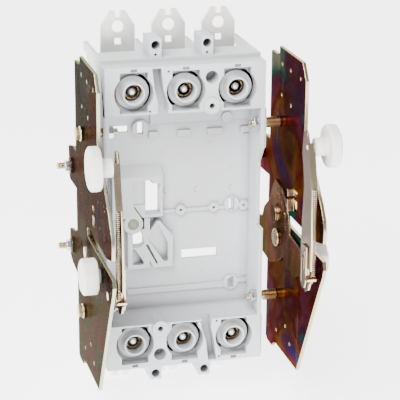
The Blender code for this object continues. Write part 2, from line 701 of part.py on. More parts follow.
def spacer_set(side, hand, row, end):
    """A tubular spacer between wall and plate, its bolt from outside, and the nut inside the wall."""
    at = (SPACER_AT[0], end * SPACER_AT[1])
    wall = BASE_HALF_WIDTH + GAP
    neck = wall + 3 * MM
    inner = PLATE_X[0] - GAP
    tube = (
        (wall, BOLT_BORE_R),
        (wall, SPACER_R - 0.8 * MM),
        (neck, SPACER_R - 0.8 * MM),
        (neck, SPACER_R),
        (inner, SPACER_R),
        (inner, BOLT_BORE_R),
    )
    name = f"{side}_{row}"
    turned(f"{name}_spacer", handed(hand, tube), "X", at, FASTENER_YELLOW, 16)
    tip = 57.5 * MM
    face = PLATE_X[1] + GAP
    washer = face + 1.2 * MM
    bolt = (
        (tip, 0),
        (tip, BOLT_R - 0.6 * MM),
        (tip + 0.7 * MM, BOLT_R),
        (face, BOLT_R),
        (face, 6.6 * MM),
        (washer, 6.6 * MM),
        (washer, 0),
    )
    shank = turned(f"{name}_bolt", handed(hand, bolt), "X", at, FASTENER_YELLOW, SMALL_SIDES)
    head = outwards(hand, (face + MM, face + 5.2 * MM))
    join(shank, rod(f"add_head_{name}", "X", at, head, 5.6 * MM, 6))
    seat = (61.6 * MM, BASE_HALF_WIDTH - WALL - GAP)
    hexagon_nut(f"{name}_nut", hand, at, seat, 5.8 * MM, BOLT_BORE_R)


def hexagon_nut(name, hand, at, span, radius, bore):
    nut = rod(name, "X", at, outwards(hand, span), radius, 6, ZINC_STEEL)
    through = outwards(hand, (span[0] - MM, span[1] + MM))
    return cut(nut, rod(f"cut_{name}", "X", at, through, bore, SMALL_SIDES))


def stud_set(side, hand, row, end):
    at = (STUD_AT[0], end * STUD_AT[1])
    inner = PLATE_X[0] - GAP
    outer = PLATE_X[1] + GAP
    tip = 101.3 * MM
    profile = (
        (inner - 2.4 * MM, 0),
        (inner - 2.4 * MM, 5 * MM),
        (inner, 5 * MM),
        (inner, STUD_R),
        (tip - 0.8 * MM, STUD_R),
        (tip, STUD_R - 0.7 * MM),
        (tip, 0),
    )
    name = f"{side}_{row}"
    turned(f"{name}_stud", handed(hand, profile), "X", at, FASTENER_YELLOW, SMALL_SIDES)
    seat = (outer + 1.2 * MM, outer + 5.4 * MM)
    hexagon_nut(f"{name}_stud_nut", hand, at, seat, 5.4 * MM, STUD_R + GAP)


def lever_pin(side, hand):
    """The lever's pin: a neck in its slot, a collar behind it, and an end flush with the plate."""
    head = LEVER_X[0] - 0.15 * MM
    collar = (LEVER_X[1] + GAP, LEVER_WEB_X - GAP)
    profile = (
        (head, 0),
        (head, PIN_NECK_R),
        (collar[0], PIN_NECK_R),
        (collar[0], 5.5 * MM),
        (collar[1], 5.5 * MM),
        (collar[1], PIN_NECK_R),
        (PLATE_X[1], PIN_NECK_R),
        (PLATE_X[1], 0),
    )
    turned(f"{side}_lever_pin", handed(hand, profile), "X", LEVER_PIVOT, ZINC_STEEL, 16)


def cam_pin(side, hand):
    """The cam's pin: a domed head over the cam, and an end flush with the plate."""
    under = CAM_X[0] - GAP
    profile = (
        (under - 2.6 * MM, 0),
        (under - 2.6 * MM, 6 * MM),
        (under - 1.2 * MM, 8 * MM),
        (under, 8 * MM),
        (under, CAM_PIN_R),
        (PLATE_X[1], CAM_PIN_R),
        (PLATE_X[1], 0),
    )
    turned(f"{side}_cam_pin", handed(hand, profile), "X", CAM_PIVOT, ZINC_STEEL, 16)


def cam_plate(side, hand):
    """The cam, with a round boss riveted to its inner face."""
    outline = to_metres(CAM_OUTLINE)
    span = outwards(hand, CAM_X)
    body = flat_shape(f"{side}_cam_plate", outline, "X", span, PLATED_STEEL)
    boss = outwards(hand, (CAM_X[0] - 2.4 * MM, CAM_X[0] + 0.5 * MM))
    join(body, rod(f"add_boss_{side}", "X", CAM_BOSS_AT, boss, CAM_BOSS_R))
    through = outwards(hand, (CAM_X[0] - MM, CAM_X[1] + MM))
    cut(body, rod(f"cut_pivot_{side}", "X", CAM_PIVOT, through, CAM_PIN_R + GAP, 16))
    for index, (d, z) in enumerate(CAM_HOLES):
        cut(body, rod(f"cut_cam_hole_{side}_{index}", "X", (d * MM, z * MM), through, 2.2 * MM, 10))
    return origin_at(body, hand * CAM_X[0], CAM_PIVOT)


def lever(side, hand, drop):
    """A flat arm with a bent front web above the spring, slotted at its pivot."""
    span = outwards(hand, LEVER_X)
    body = flat_shape(f"{side}_lever", to_metres(LEVER_OUTLINE, drop), "X", span, PLATED_STEEL)
    web = outwards(hand, (LEVER_X[0] + 0.5 * MM, LEVER_WEB_X))
    join(body, flat_shape(f"add_web_{side}", to_metres(LEVER_WEB, drop), "X", web))
    through = outwards(hand, (LEVER_X[0] - MM, LEVER_X[1] + MM))
    notch = (-112 * MM, -103.5 * MM)
    cut(body, box(f"cut_seat_{side}", through, notch, (-25.5 * MM - drop, -15 * MM - drop)))
    slot_ends = [(LEVER_PIVOT[0], LEVER_PIVOT[1] + rise - drop) for rise in (0, PIVOT_SLOT)]
    for index, end in enumerate(slot_ends):
        cut(body, rod(f"cut_lever_{side}_{index}", "X", end, through, PIN_NECK_R + GAP, 16))
    slot = (LEVER_PIVOT[0] - PIN_NECK_R - GAP, LEVER_PIVOT[0] + PIN_NECK_R + GAP)
    cut(body, box(f"cut_lever_{side}", through, slot, (slot_ends[0][1], slot_ends[1][1])))
    for index, (d, z) in enumerate(SLIDE_RIVETS):
        at = (d * MM, z * MM - drop)
        shank = outwards(hand, (SLIDE_X[0] - 2 * GAP, LEVER_X[0] + 0.5 * MM))
        join(body, rod(f"add_rivet_{side}_{index}", "X", at, shank, 0.9 * MM, 10))
        head = outwards(hand, (SLIDE_X[0] - GAP - 0.6 * MM, SLIDE_X[0] - GAP))
        join(body, rod(f"add_rivet_head_{side}_{index}", "X", at, head, 2 * MM, 10))
    knob_hole = (KNOB_AT[0], KNOB_AT[1] - drop)
    cut(body, rod(f"cut_knob_{side}", "X", knob_hole, through, KNOB_NECK_R + GAP, SMALL_SIDES))
    return origin_at(body, hand * LEVER_X[0], LEVER_PIVOT)


def latch_spring(side, hand, drop):
    """A coil along the lever's open front, between the web and the seat."""
    turns, steps, wire, coil = 14, 6, 0.45 * MM, 1.45 * MM
    top = Vector((hand * 81.1 * MM, depth(-103.6 * MM), 52.8 * MM - drop))
    foot = Vector((hand * 81.1 * MM, depth(-107.2 * MM), -21 * MM - drop))
    along = foot - top
    across = Vector((1, 0, 0))
    third = along.normalized().cross(across)
    curve = bpy.data.curves.new(f"{side}_latch_spring", "CURVE")
    curve.dimensions = "3D"
    curve.bevel_depth = wire
    curve.bevel_resolution = 0
    curve.use_fill_caps = True
    spline = curve.splines.new("POLY")
    count = turns * steps
    spline.points.add(count)
    for index, point in enumerate(spline.points):
        angle = 2 * math.pi * index / steps
        centre = top + along * index / count
        place = centre + coil * (math.cos(angle) * across + math.sin(angle) * third)
        point.co = (*place, 1)
    obj = bpy.data.objects.new(curve.name, curve)
    bpy.context.scene.collection.objects.link(obj)
    bpy.context.view_layer.update()
    coil = mesh_of_curve(obj, f"{side}_latch_spring", SPRING_STEEL)
    return origin_at(smooth(coil), hand * LEVER_X[0], LEVER_PIVOT)


def latch_slide(side, hand, drop):
    """The slotted strip on the lever's inner side, rounded at its foot."""
    outline = to_metres(SLIDE_OUTLINE, drop)
    body = flat_shape(f"{side}_latch_slide", outline, "X", outwards(hand, SLIDE_X), PLATED_STEEL)
    seat = tuple(z * MM - drop for z in SPRING_SEAT)
    ear = box(f"add_ear_{side}", outwards(hand, SLIDE_X), (-109.5 * MM, -102 * MM), seat)
    width = outwards(hand, (SLIDE_X[0], LEVER_WEB_X))
    tab = box(f"add_tab_{side}", width, (-109.5 * MM, -104.6 * MM), seat)
    join(body, ear, tab)
    through = outwards(hand, (SLIDE_X[0] - MM, SLIDE_X[1] + MM))
    for index, (d, z) in enumerate(SLIDE_SLOTS):
        height = (z[0] * MM - drop, z[1] * MM - drop)
        cut(body, box(f"cut_slide_{side}_{index}", through, (d[0] * MM, d[1] * MM), height))
    return origin_at(body, hand * SLIDE_X[0], LEVER_PIVOT)


def operating_knob(side, hand, drop):
    neck = (LEVER_X[0] - GAP, LEVER_WEB_X + GAP)
    profile = (
        (neck[0], 0),
        (neck[0], KNOB_NECK_R),
        (neck[1], KNOB_NECK_R),
        (neck[1], KNOB_STEM_R),
        (KNOB_X[0], KNOB_STEM_R),
        (KNOB_X[0], KNOB_R - 1.2 * MM),
        (KNOB_X[0] + 1.2 * MM, KNOB_R),
        (KNOB_X[1] - 1.2 * MM, KNOB_R),
        (KNOB_X[1], KNOB_R - 1.2 * MM),
        (KNOB_X[1], 0),
    )
    at = (KNOB_AT[0], KNOB_AT[1] - drop)
    knob = turned(f"{side}_operating_knob", handed(hand, profile), "X", at, IVORY_PLASTIC)
    return origin_at(knob, hand * LEVER_X[0], LEVER_PIVOT)


def lock_knob(side, hand):
    foot = PLATE_X[0] + GAP
    profile = (
        (foot, 0),
        (foot, LOCK_SHAFT_R),
        (LOCK_X[0], LOCK_SHAFT_R),
        (LOCK_X[0], LOCK_R - MM),
        (LOCK_X[0] + MM, LOCK_R),
        (LOCK_X[1] - 1.5 * MM, LOCK_R),
        (LOCK_X[1], LOCK_R - 1.5 * MM),
        (LOCK_X[1], 0),
    )
    body = turned(f"{side}_lock_knob", handed(hand, profile), "X", LOCK_AT, IVORY_PLASTIC)
    slit = outwards(hand, (LOCK_X[1] - 1.2 * MM, LOCK_X[1] + MM))
    width = (LOCK_AT[0] + 5.2 * MM, LOCK_AT[0] + 6.8 * MM)
    height = (LOCK_AT[1] - 4 * MM, LOCK_AT[1] + 4 * MM)
    cut(body, box(f"cut_lock_{side}", slit, width, height))
    return origin_at(body, hand * LOCK_X[0], LOCK_AT)


def side_assembly(side, hand):
    drop = LEVER_DROP[side]
    side_plate(side, hand)
    for row, end in (("upper", 1), ("lower", -1)):
        spacer_set(side, hand, row, end)
        stud_set(side, hand, row, end)
    cam_plate(side, hand)
    lever(side, hand, drop)
    latch_spring(side, hand, drop)
    latch_slide(side, hand, drop)
    operating_knob(side, hand, drop)
    lock_knob(side, hand)
    lever_pin(side, hand)
    cam_pin(side, hand)


def main():
    base_moulding()
    auxiliary_guide()
    inspection_plug()
    for row, side, x, z, sign in pole_centres():
        socket_collar(row, side, x, z)
        tulip_contact(row, side, x, z)
        terminal(row, side, x, z, sign)
    side_assembly("left", -1)
    side_assembly("right", 1)


main()
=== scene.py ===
"""Finishes, rounded edges and small parts of a three-pole plug-in base for a circuit breaker.

Every length is in metres, +Z up, +X to the right seen from the front, front towards -Y. Depths are measured
backwards from the moulding's front face.
"""

import math

import bmesh
import bpy
from mathutils import Matrix, Vector


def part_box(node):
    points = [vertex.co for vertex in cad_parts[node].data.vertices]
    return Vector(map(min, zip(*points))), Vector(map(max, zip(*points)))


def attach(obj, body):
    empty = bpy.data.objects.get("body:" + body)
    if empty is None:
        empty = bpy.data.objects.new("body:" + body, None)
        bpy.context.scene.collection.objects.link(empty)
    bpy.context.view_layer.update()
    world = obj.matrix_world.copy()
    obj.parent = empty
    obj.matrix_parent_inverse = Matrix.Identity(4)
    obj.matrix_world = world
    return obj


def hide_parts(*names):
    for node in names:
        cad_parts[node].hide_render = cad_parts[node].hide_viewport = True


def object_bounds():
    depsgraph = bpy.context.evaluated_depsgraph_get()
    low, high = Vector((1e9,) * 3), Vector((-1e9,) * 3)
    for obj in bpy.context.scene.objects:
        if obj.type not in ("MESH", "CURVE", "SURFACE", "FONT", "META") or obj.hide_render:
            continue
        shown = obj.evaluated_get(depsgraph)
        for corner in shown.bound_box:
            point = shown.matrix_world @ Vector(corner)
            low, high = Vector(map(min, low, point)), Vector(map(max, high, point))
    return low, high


bl_info = {
    "name": "Breaker Plug-in Base",
    "version": (1, 0, 0),
    "blender": (4, 5, 0),
    "location": "View3D > Sidebar > Plug-in Base",
    "description": "Builds the visible pieces and finishes of a breaker's plug-in base",
    "category": "Object",
}

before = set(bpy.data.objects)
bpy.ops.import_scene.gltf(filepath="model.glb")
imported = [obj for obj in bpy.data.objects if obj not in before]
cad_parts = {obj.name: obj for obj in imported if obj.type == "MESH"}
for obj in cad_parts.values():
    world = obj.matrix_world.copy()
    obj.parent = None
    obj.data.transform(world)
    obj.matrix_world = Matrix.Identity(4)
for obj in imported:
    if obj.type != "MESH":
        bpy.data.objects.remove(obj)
CAD_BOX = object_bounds()

MM = 0.001
ROWS = (("upper", 1), ("lower", -1))
COLUMNS = ("left", "middle", "right")
SIDES = (("left", -1), ("right", 1))
BASE_DEPTH = 94 * MM
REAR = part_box("base_moulding")[1].y
ALONG_X = Matrix.Rotation(math.pi / 2, 4, "Y")  # turns +Z to +X
ALONG_Y = Matrix.Rotation(-math.pi / 2, 4, "X")  # turns +Z to +Y


def depth(distance):
    """The Y of a place this far behind the front face."""
    return REAR - BASE_DEPTH + distance


# --- Settings ---


def length(name, about, default):
    return bpy.props.FloatProperty(
        name=name, description=about, default=default, min=0.0, unit="LENGTH", precision=5
    )


def number(name, about, default):
    return bpy.props.FloatProperty(name=name, description=about, default=default, precision=4)


def angle(name, about, degrees):
    return bpy.props.FloatProperty(
        name=name, description=about, default=math.radians(degrees), subtype="ANGLE"
    )


def colour(name, about, default):
    return bpy.props.FloatVectorProperty(
        name=name, description=about, default=default, size=3, min=0.0, max=1.0, subtype="COLOR"
    )


class MouldingSettings(bpy.types.PropertyGroup):
    """Sizes and colours of the plastic pieces."""

    edge: length("Edge radius", "Rounding of the moulding's edges", 0.3 * MM)
    grey: colour("Grey", "Colour of the base moulding", (0.63, 0.645, 0.67))
    # grey_shade also sets the painted shade in the moulding's crevices and corners, at 0.42 times this colour
    grey_shade: colour("Grey, shaded", "Colour of its dirtier patches", (0.54, 0.545, 0.55))
    ivory: colour("Ivory", "Colour of the knobs", (0.83, 0.83, 0.77))
    # ivory_shade also sets the painted shade in the knobs' crevices and corners, at 0.42 times this colour
    ivory_shade: colour("Ivory, shaded", "Colour of the knobs' yellower patches", (0.76, 0.74, 0.64))
    olive: colour("Olive", "Colour of the inspection plug", (0.30, 0.30, 0.22))
    slit: length("Slit width", "Width of the slits around the sockets", 0.9 * MM)


class PlatingSettings(bpy.types.PropertyGroup):
    """Sizes and colours of the plated sheet steel."""

    edge: length("Edge radius", "Rounding of the sheet's edges", 0.35 * MM)
    sheared: colour("Sheared edge", "Colour of the sheet's cut edges", (0.50, 0.36, 0.17))
    sheared_pale: colour("Sheared edge, pale", "Colour of its paler stretches", (0.56, 0.50, 0.34))
    zinc: colour("Bright zinc", "Colour of the nuts", (0.62, 0.66, 0.72))
    brass: colour("Yellow chromate", "Colour of the spacers and bolts", (0.60, 0.49, 0.26))
    clear: number("Film clearness", "How much light the chromate film lets through", 0.8)
    silver: colour("Silver plating", "Colour of the terminals", (0.93, 0.92, 0.89))


class SpringSettings(bpy.types.PropertyGroup):
    """Sizes of the two latch springs."""

    turns: bpy.props.IntProperty(name="Turns", description="Turns of the coil", default=44, min=4)
    wire: length("Wire radius", "Half the wire's thickness", 0.42 * MM)
    radius: length("Coil radius", "Radius of the wire's middle line", 1.6 * MM)


class FastenerSettings(bpy.types.PropertyGroup):
    """Sizes of the threads and toothed washers."""

    pitch: length("Pitch", "Distance between the threads", 1.0 * MM)
    ridge: length("Ridge", "How far the thread stands off its shank", 0.22 * MM)
    teeth: bpy.props.IntProperty(name="Teeth", description="Teeth on a washer", default=14, min=3)


class ContactSettings(bpy.types.PropertyGroup):
    """Sizes of the sprung contacts in the sockets."""

    fingers: bpy.props.IntProperty(name="Fingers", description="Fingers of a contact", default=8, min=3)
    wall: length("Wall", "Thickness of a finger", 1.2 * MM)
    brass: colour("Brass", "Colour of the contacts", (0.20, 0.13, 0.07))


class StageSettings(bpy.types.PropertyGroup):
    """The camera, floor and lights."""

    azimuth: angle("Azimuth", "How far round from the front the camera stands", -14.723)
    elevation: angle("Elevation", "How far above the horizon the camera stands", 18.26)
    roll: angle("Roll", "Turn of the camera about its own axis", 0.481)
    distance: length("Distance", "From the camera to its target", 1.39788)
    lens: number("Focal length", "Focal length in millimetres on a 36 mm sensor", 145.95)
    target: bpy.props.FloatVectorProperty(
        name="Target",
        description="The point that the camera looks at",
        default=(0.012739, -0.094, 0.016318),
        size=3,
        subtype="TRANSLATION",
    )
    sky: number("Surround", "Brightness of the white surround", 0.34)
    glow: number("Floor glow", "Light that the white floor gives off by itself", 3.2)
    key: number("Key light", "Power of the main softbox in watts", 165.0)
    fill: number("Fill light", "Power of the second softbox in watts", 10.0)


GROUPS = (
    ("plug_in_moulding", MouldingSettings),
    ("plug_in_plating", PlatingSettings),
    ("plug_in_spring", SpringSettings),
    ("plug_in_fastener", FastenerSettings),
    ("plug_in_contact", ContactSettings),
    ("plug_in_stage", StageSettings),
)


# --- Shader node groups ---


FLOAT, VECTOR, COUNT = "NodeSocketFloat", "NodeSocketVector", "NodeSocketInt"
FINISH, PIECE, GEOMETRY = "NodeSocketMaterial", "NodeSocketObject", "NodeSocketGeometry"


def group_socket(group, name, kind, default=None, output=False):
    socket = group.interface.new_socket(
        name=name, in_out="OUTPUT" if output else "INPUT", socket_type=kind
    )
    if default is not None:
        socket.default_value = default
    return socket


def feed(tree, node, inputs):
    """Sets a node's inputs to values, or links them from sockets."""
    for key, value in inputs.items():
        if isinstance(value, bpy.types.NodeSocket):
            tree.links.new(value, node.inputs[key])
        else:
            node.inputs[key].default_value = value
    return node


def add_node(tree, kind, inputs=None, **settings):
    """A new node with its settings and its inputs."""
    node = tree.nodes.new(kind)
    for key, value in settings.items():
        setattr(node, key, value)
    return feed(tree, node, inputs or {})


def shader_group(name, inputs, outputs):
    """An empty shader group with its input and output nodes."""
    group = bpy.data.node_groups.new(name, "ShaderNodeTree")
    for label, kind, default in inputs:
        group_socket(group, label, kind, default)
    for label, kind in outputs:
        group_socket(group, label, kind, output=True)
    entry = group.nodes.new("NodeGroupInput").outputs
    leave = group.nodes.new("NodeGroupOutput").inputs
    return group, entry, leave


def maths(tree, operation, first, second=0.5, clamp=False):
    node = add_node(tree, "ShaderNodeMath", {0: first, 1: second}, operation=operation, use_clamp=clamp)
    return node.outputs[0]


def blend_colours(tree, factor, first, second):
    node = add_node(tree, "ShaderNodeMix", data_type="RGBA")
    return feed(tree, node, {0: factor, 6: first, 7: second}).outputs[2]


def ramp(tree, factor, stops):
    """A colour ramp with (place, colour) stops."""
    node = add_node(tree, "ShaderNodeValToRGB", {0: factor})
    elements = node.color_ramp.elements
    while len(elements) < len(stops):
        elements.new(0.5)
    for element, (place, shade) in zip(elements, stops):
        element.position = place
        element.color = (*shade, 1)
    return node.outputs[0]


def noise(tree, vector, scale, detail, **more):
    """The value of a noise texture. more gives its other inputs, and a W makes it four-dimensional."""
    inputs = {"Vector": vector, "Scale": scale, "Detail": detail, **more}
    node = add_node(tree, "ShaderNodeTexNoise", inputs, noise_dimensions="4D" if "W" in more else "3D")
    return node.outputs["Fac"]


def spread_out(tree, value, low, high):
    """A value spread so that low gives 0 and high gives 1, and no further."""
    node = add_node(tree, "ShaderNodeMapRange", {"Value": value, "From Min": low, "From Max": high})
    return node.outputs[0]


def surface_normal(tree):
    """The X, Y and Z of the surface's normal."""
    normal = add_node(tree, "ShaderNodeNewGeometry").outputs["Normal"]
    return add_node(tree, "ShaderNodeSeparateXYZ", {0: normal}).outputs


def grain_group():
    """Fine texture of a mould or of plating: a height for bump and a slow patchiness."""
    group, entry, leave = shader_group(
        "Surface grain",
        (("Vector", VECTOR, None), ("Fine scale", FLOAT, 900.0), ("Patch scale", FLOAT, 22.0)),
        (("Height", FLOAT), ("Patches", FLOAT)),
    )
    fine = noise(group, entry["Vector"], entry["Fine scale"], 3.0, Roughness=0.6)
    slow = noise(group, entry["Vector"], entry["Patch scale"], 5.0, Roughness=0.55)
    group.links.new(fine, leave["Height"])
    group.links.new(spread_out(group, slow, 0.32, 0.7), leave["Patches"])
    return group


def scuff_group():
    """Sparse fine scratches along one direction, as a mask."""
    group, entry, leave = shader_group(
        "Handling scuffs",
        (("Vector", VECTOR, None), ("Scale", FLOAT, 120.0), ("Amount", FLOAT, 0.5)),
        (("Mask", FLOAT),),
    )
    stretch = add_node(group, "ShaderNodeMapping", {"Vector": entry["Vector"], "Scale": (1.0, 1.0, 0.06)})
    lines = noise(group, stretch.outputs[0], entry["Scale"], 4.0, Distortion=0.25)
    patches = noise(group, entry["Vector"], 35.0, 2.0)
    some = maths(group, "MULTIPLY", spread_out(group, lines, 0.62, 0.7), patches)
    group.links.new(maths(group, "MULTIPLY", some, entry["Amount"], True), leave["Mask"])
    return group


def plating_group():
    """Drifting bands of chromate film: a band position, how sheared the surface is, and a fine mottle."""
    group, entry, leave = shader_group(
        "Chromate film",
        (
            ("Vector", VECTOR, None),
            ("Seed", FLOAT, 0.0),
            ("Scale", FLOAT, 11.0),
            ("Spread", FLOAT, 1.0),
            ("Start", FLOAT, 0.5),
            ("Rise", FLOAT, 0.0),
        ),
        (("Band", FLOAT), ("Sheared", FLOAT), ("Mottle", FLOAT)),
    )
    where, seed = entry["Vector"], entry["Seed"]
    drift = noise(group, where, entry["Scale"], 3.0, W=seed, Roughness=0.5, Distortion=0.8)
    mottle = noise(group, where, 70.0, 6.0, W=seed, Roughness=0.65)
    centred = maths(group, "SUBTRACT", drift, 0.5)
    spread = maths(group, "MULTIPLY", centred, entry["Spread"])
    fleck = maths(group, "MULTIPLY", maths(group, "SUBTRACT", mottle, 0.5), 0.16)
    place = add_node(group, "ShaderNodeSeparateXYZ", {0: where})
    climb = maths(group, "MULTIPLY", place.outputs["Z"], entry["Rise"])
    film = maths(group, "ADD", spread, fleck)
    total = maths(group, "ADD", film, maths(group, "ADD", climb, entry["Start"]))
    flat = maths(group, "ABSOLUTE", surface_normal(group)["X"])
    group.links.new(maths(group, "MULTIPLY", total, 1.0, True), leave["Band"])
    group.links.new(spread_out(group, flat, 0.85, 0.55), leave["Sheared"])
    group.links.new(mottle, leave["Mottle"])
    return group


def dust_group():
    """A thin settling of dust on faces that look up, as a mask."""
    group, entry, leave = shader_group(
        "Settled dust",
        (("Vector", VECTOR, None), ("Amount", FLOAT, 0.3)),
        (("Mask", FLOAT),),
    )
    up = maths(group, "MAXIMUM", surface_normal(group)["Z"], 0.0)
    mask = maths(group, "MULTIPLY", up, noise(group, entry["Vector"], 260.0, 4.0))
    group.links.new(maths(group, "MULTIPLY", mask, entry["Amount"], True), leave["Mask"])
    return group


def shared_group(builder):
    """The group that this function builds, made once."""
    label = builder.__name__
    for group in bpy.data.node_groups:
        if group.get("made_by") == label:
            return group
    group = builder()
    group["made_by"] = label
    return group


def place_group(tree, builder, **inputs):
    node = tree.nodes.new("ShaderNodeGroup")
    node.node_tree = shared_group(builder)
    return feed(tree, node, {key.replace("_", " "): value for key, value in inputs.items()}).outputs


# --- Materials ---


def new_material(name):
    """(material, its node tree, its shader, its object coordinates)."""
    made = bpy.data.materials.new(name)
    made.use_nodes = True
    tree = made.node_tree
    place = tree.nodes.new("ShaderNodeTexCoord").outputs["Object"]
    return made, tree, tree.nodes["Principled BSDF"], place


def bump(tree, shader, height, strength, distance=0.1 * MM):
    node = add_node(tree, "ShaderNodeBump", {"Height": height, "Strength": strength, "Distance": distance})
    tree.links.new(node.outputs[0], shader.inputs["Normal"])


def vary_roughness(tree, shader, mask, swing, base):
    rough = maths(tree, "MULTIPLY_ADD", mask, swing)
    rough.node.inputs[2].default_value = base
    tree.links.new(rough, shader.inputs["Roughness"])


def plastic(name, fresh, shaded, roughness, grain=0.22, fine=1400.0):
    """Moulded plastic: slow patches of tone, a fine grain, faint scuffs, a little dust, and painted shade
    that darkens its crevices, corners and recesses.
    """
    made, tree, shader, place = new_material(name)
    texture = place_group(tree, grain_group, Vector=place, Fine_scale=fine, Patch_scale=18.0)
    scuffs = place_group(tree, scuff_group, Vector=place, Scale=260.0, Amount=0.35)
    dust = place_group(tree, dust_group, Vector=place, Amount=0.18)
    tone = blend_colours(tree, maths(tree, "MULTIPLY", texture["Patches"], 0.45), (*fresh, 1), (*shaded, 1))
    tone = blend_colours(tree, dust["Mask"], tone, (0.60, 0.58, 0.54, 1))
    # Painted shade: ambient occlusion darkens the colour in crevices, corners and recesses, towards 0.42
    # times the shaded tone
    corners = add_node(tree, "ShaderNodeAmbientOcclusion", {"Distance": 9 * MM}, samples=8)
    tone = blend_colours(tree, corners.outputs["AO"], (*[0.42 * part for part in shaded], 1), tone)
    tone = blend_colours(tree, maths(tree, "MULTIPLY", scuffs["Mask"], 0.35), tone, (0.86, 0.86, 0.86, 1))
    tree.links.new(tone, shader.inputs["Base Color"])
    vary_roughness(tree, shader, texture["Patches"], 0.08, roughness)
    shader.inputs["Specular IOR Level"].default_value = 0.42
    bump(tree, shader, texture["Height"], grain, 0.06 * MM)
    return made


def plated_sheet(name, stops, edges, clear, seed, scale, spread, start, rise, roughness, grazing):
    """Zinc-plated sheet steel under a rainbow chromate film, with golden sheared edges."""
    made, tree, shader, place = new_material(name)
    film = place_group(
        tree, plating_group, Vector=place, Seed=seed, Scale=scale, Spread=spread, Start=start, Rise=rise
    )
    scuffs = place_group(tree, scuff_group, Vector=place, Scale=170.0, Amount=0.8)
    face = ramp(tree, film["Band"], [(at, [clear * part for part in shade]) for at, shade in stops])
    face = blend_colours(tree, maths(tree, "MULTIPLY", scuffs["Mask"], 0.4), face, (0.42, 0.38, 0.30, 1))
    rim = blend_colours(tree, film["Mottle"], (*edges[0], 1), (*edges[1], 1))
    tone = blend_colours(tree, film["Sheared"], face, rim)
    tree.links.new(tone, shader.inputs["Base Color"])
    vary_roughness(tree, shader, film["Mottle"], 0.22, roughness - 0.1)
    shader.inputs["Metallic"].default_value = 1.0
    shader.inputs["Specular Tint"].default_value = (*grazing, 1)
    bump(tree, shader, film["Mottle"], 0.12, 0.04 * MM)
    return made


def plain_metal(name, fresh, worn, roughness, grain=0.15, fine=1100.0, patches=60.0):
    """Bare or plated metal: two tones in patches, a fine grain and scuffs."""
    made, tree, shader, place = new_material(name)
    texture = place_group(tree, grain_group, Vector=place, Fine_scale=fine, Patch_scale=patches)
    scuffs = place_group(tree, scuff_group, Vector=place, Scale=300.0, Amount=0.7)
    tone = blend_colours(tree, texture["Patches"], (*fresh, 1), (*worn, 1))
    tone = blend_colours(tree, maths(tree, "MULTIPLY", scuffs["Mask"], 0.5), tone, (0.75, 0.74, 0.72, 1))
    tree.links.new(tone, shader.inputs["Base Color"])
    vary_roughness(tree, shader, texture["Patches"], 0.14, roughness - 0.05)
    shader.inputs["Metallic"].default_value = 1.0
    bump(tree, shader, texture["Height"], grain, 0.05 * MM)
    return made


SLATE = (0.055, 0.064, 0.060)
OLIVE_GREY = (0.085, 0.085, 0.060)
RUST = (0.190, 0.085, 0.042)
MAROON = (0.105, 0.040, 0.040)
PLUM = (0.115, 0.062, 0.098)
ROSE = (0.170, 0.080, 0.105)
BRONZE = (0.190, 0.105, 0.055)
INDIGO = (0.070, 0.062, 0.150)
TEAL = (0.050, 0.120, 0.125)
SAGE = (0.200, 0.215, 0.165)
MAUVE = (0.260, 0.170, 0.150)
STRAW = (0.330, 0.250, 0.130)
STONE = (0.200, 0.190, 0.170)
DUSK = (0.250, 0.170, 0.160)

LEFT_STOPS = ((0.0, SLATE), (0.22, OLIVE_GREY), (0.36, RUST), (0.44, PLUM), (0.54, BRONZE))
LEFT_STOPS += ((0.66, SAGE), (0.80, MAUVE), (1.0, SAGE))
RIGHT_STOPS = ((0.0, SAGE), (0.15, TEAL), (0.28, PLUM), (0.40, ROSE), (0.50, MAROON))
RIGHT_STOPS += ((0.60, BRONZE), (0.72, PLUM), (0.84, INDIGO), (1.0, TEAL))
CAM_STOPS = ((0.0, SLATE), (0.3, OLIVE_GREY), (0.5, ROSE), (0.7, MAUVE), (1.0, SAGE))
LEVER_STOPS = ((0.0, MAUVE), (0.35, STONE), (0.6, DUSK), (0.85, SAGE), (1.0, STRAW))

FILM_KEYS = ("stops", "seed", "scale", "spread", "start", "rise", "roughness", "grazing")
FILMS = {  # the order of the film's colours, and where each piece starts in it
    "left_side_plate": (LEFT_STOPS, 2.3, 12.0, 1.3, 0.50, -2.9, 0.27, (0.13, 0.115, 0.095)),
    "right_side_plate": (RIGHT_STOPS, 5.1, 13.0, 2.2, 0.47, -0.5, 0.24, (0.32, 0.30, 0.28)),
    "cam_plate": (CAM_STOPS, 1.2, 22.0, 1.8, 0.45, 0.0, 0.24, (0.42, 0.36, 0.30)),
    "lever": (LEVER_STOPS, 3.7, 18.0, 1.9, 0.45, 0.0, 0.22, (0.75, 0.68, 0.60)),
}


def film_material(name, kind, edges):
    clear = bpy.context.scene.plug_in_plating.clear
    return plated_sheet(name, edges=edges, clear=clear, **dict(zip(FILM_KEYS, FILMS[kind])))


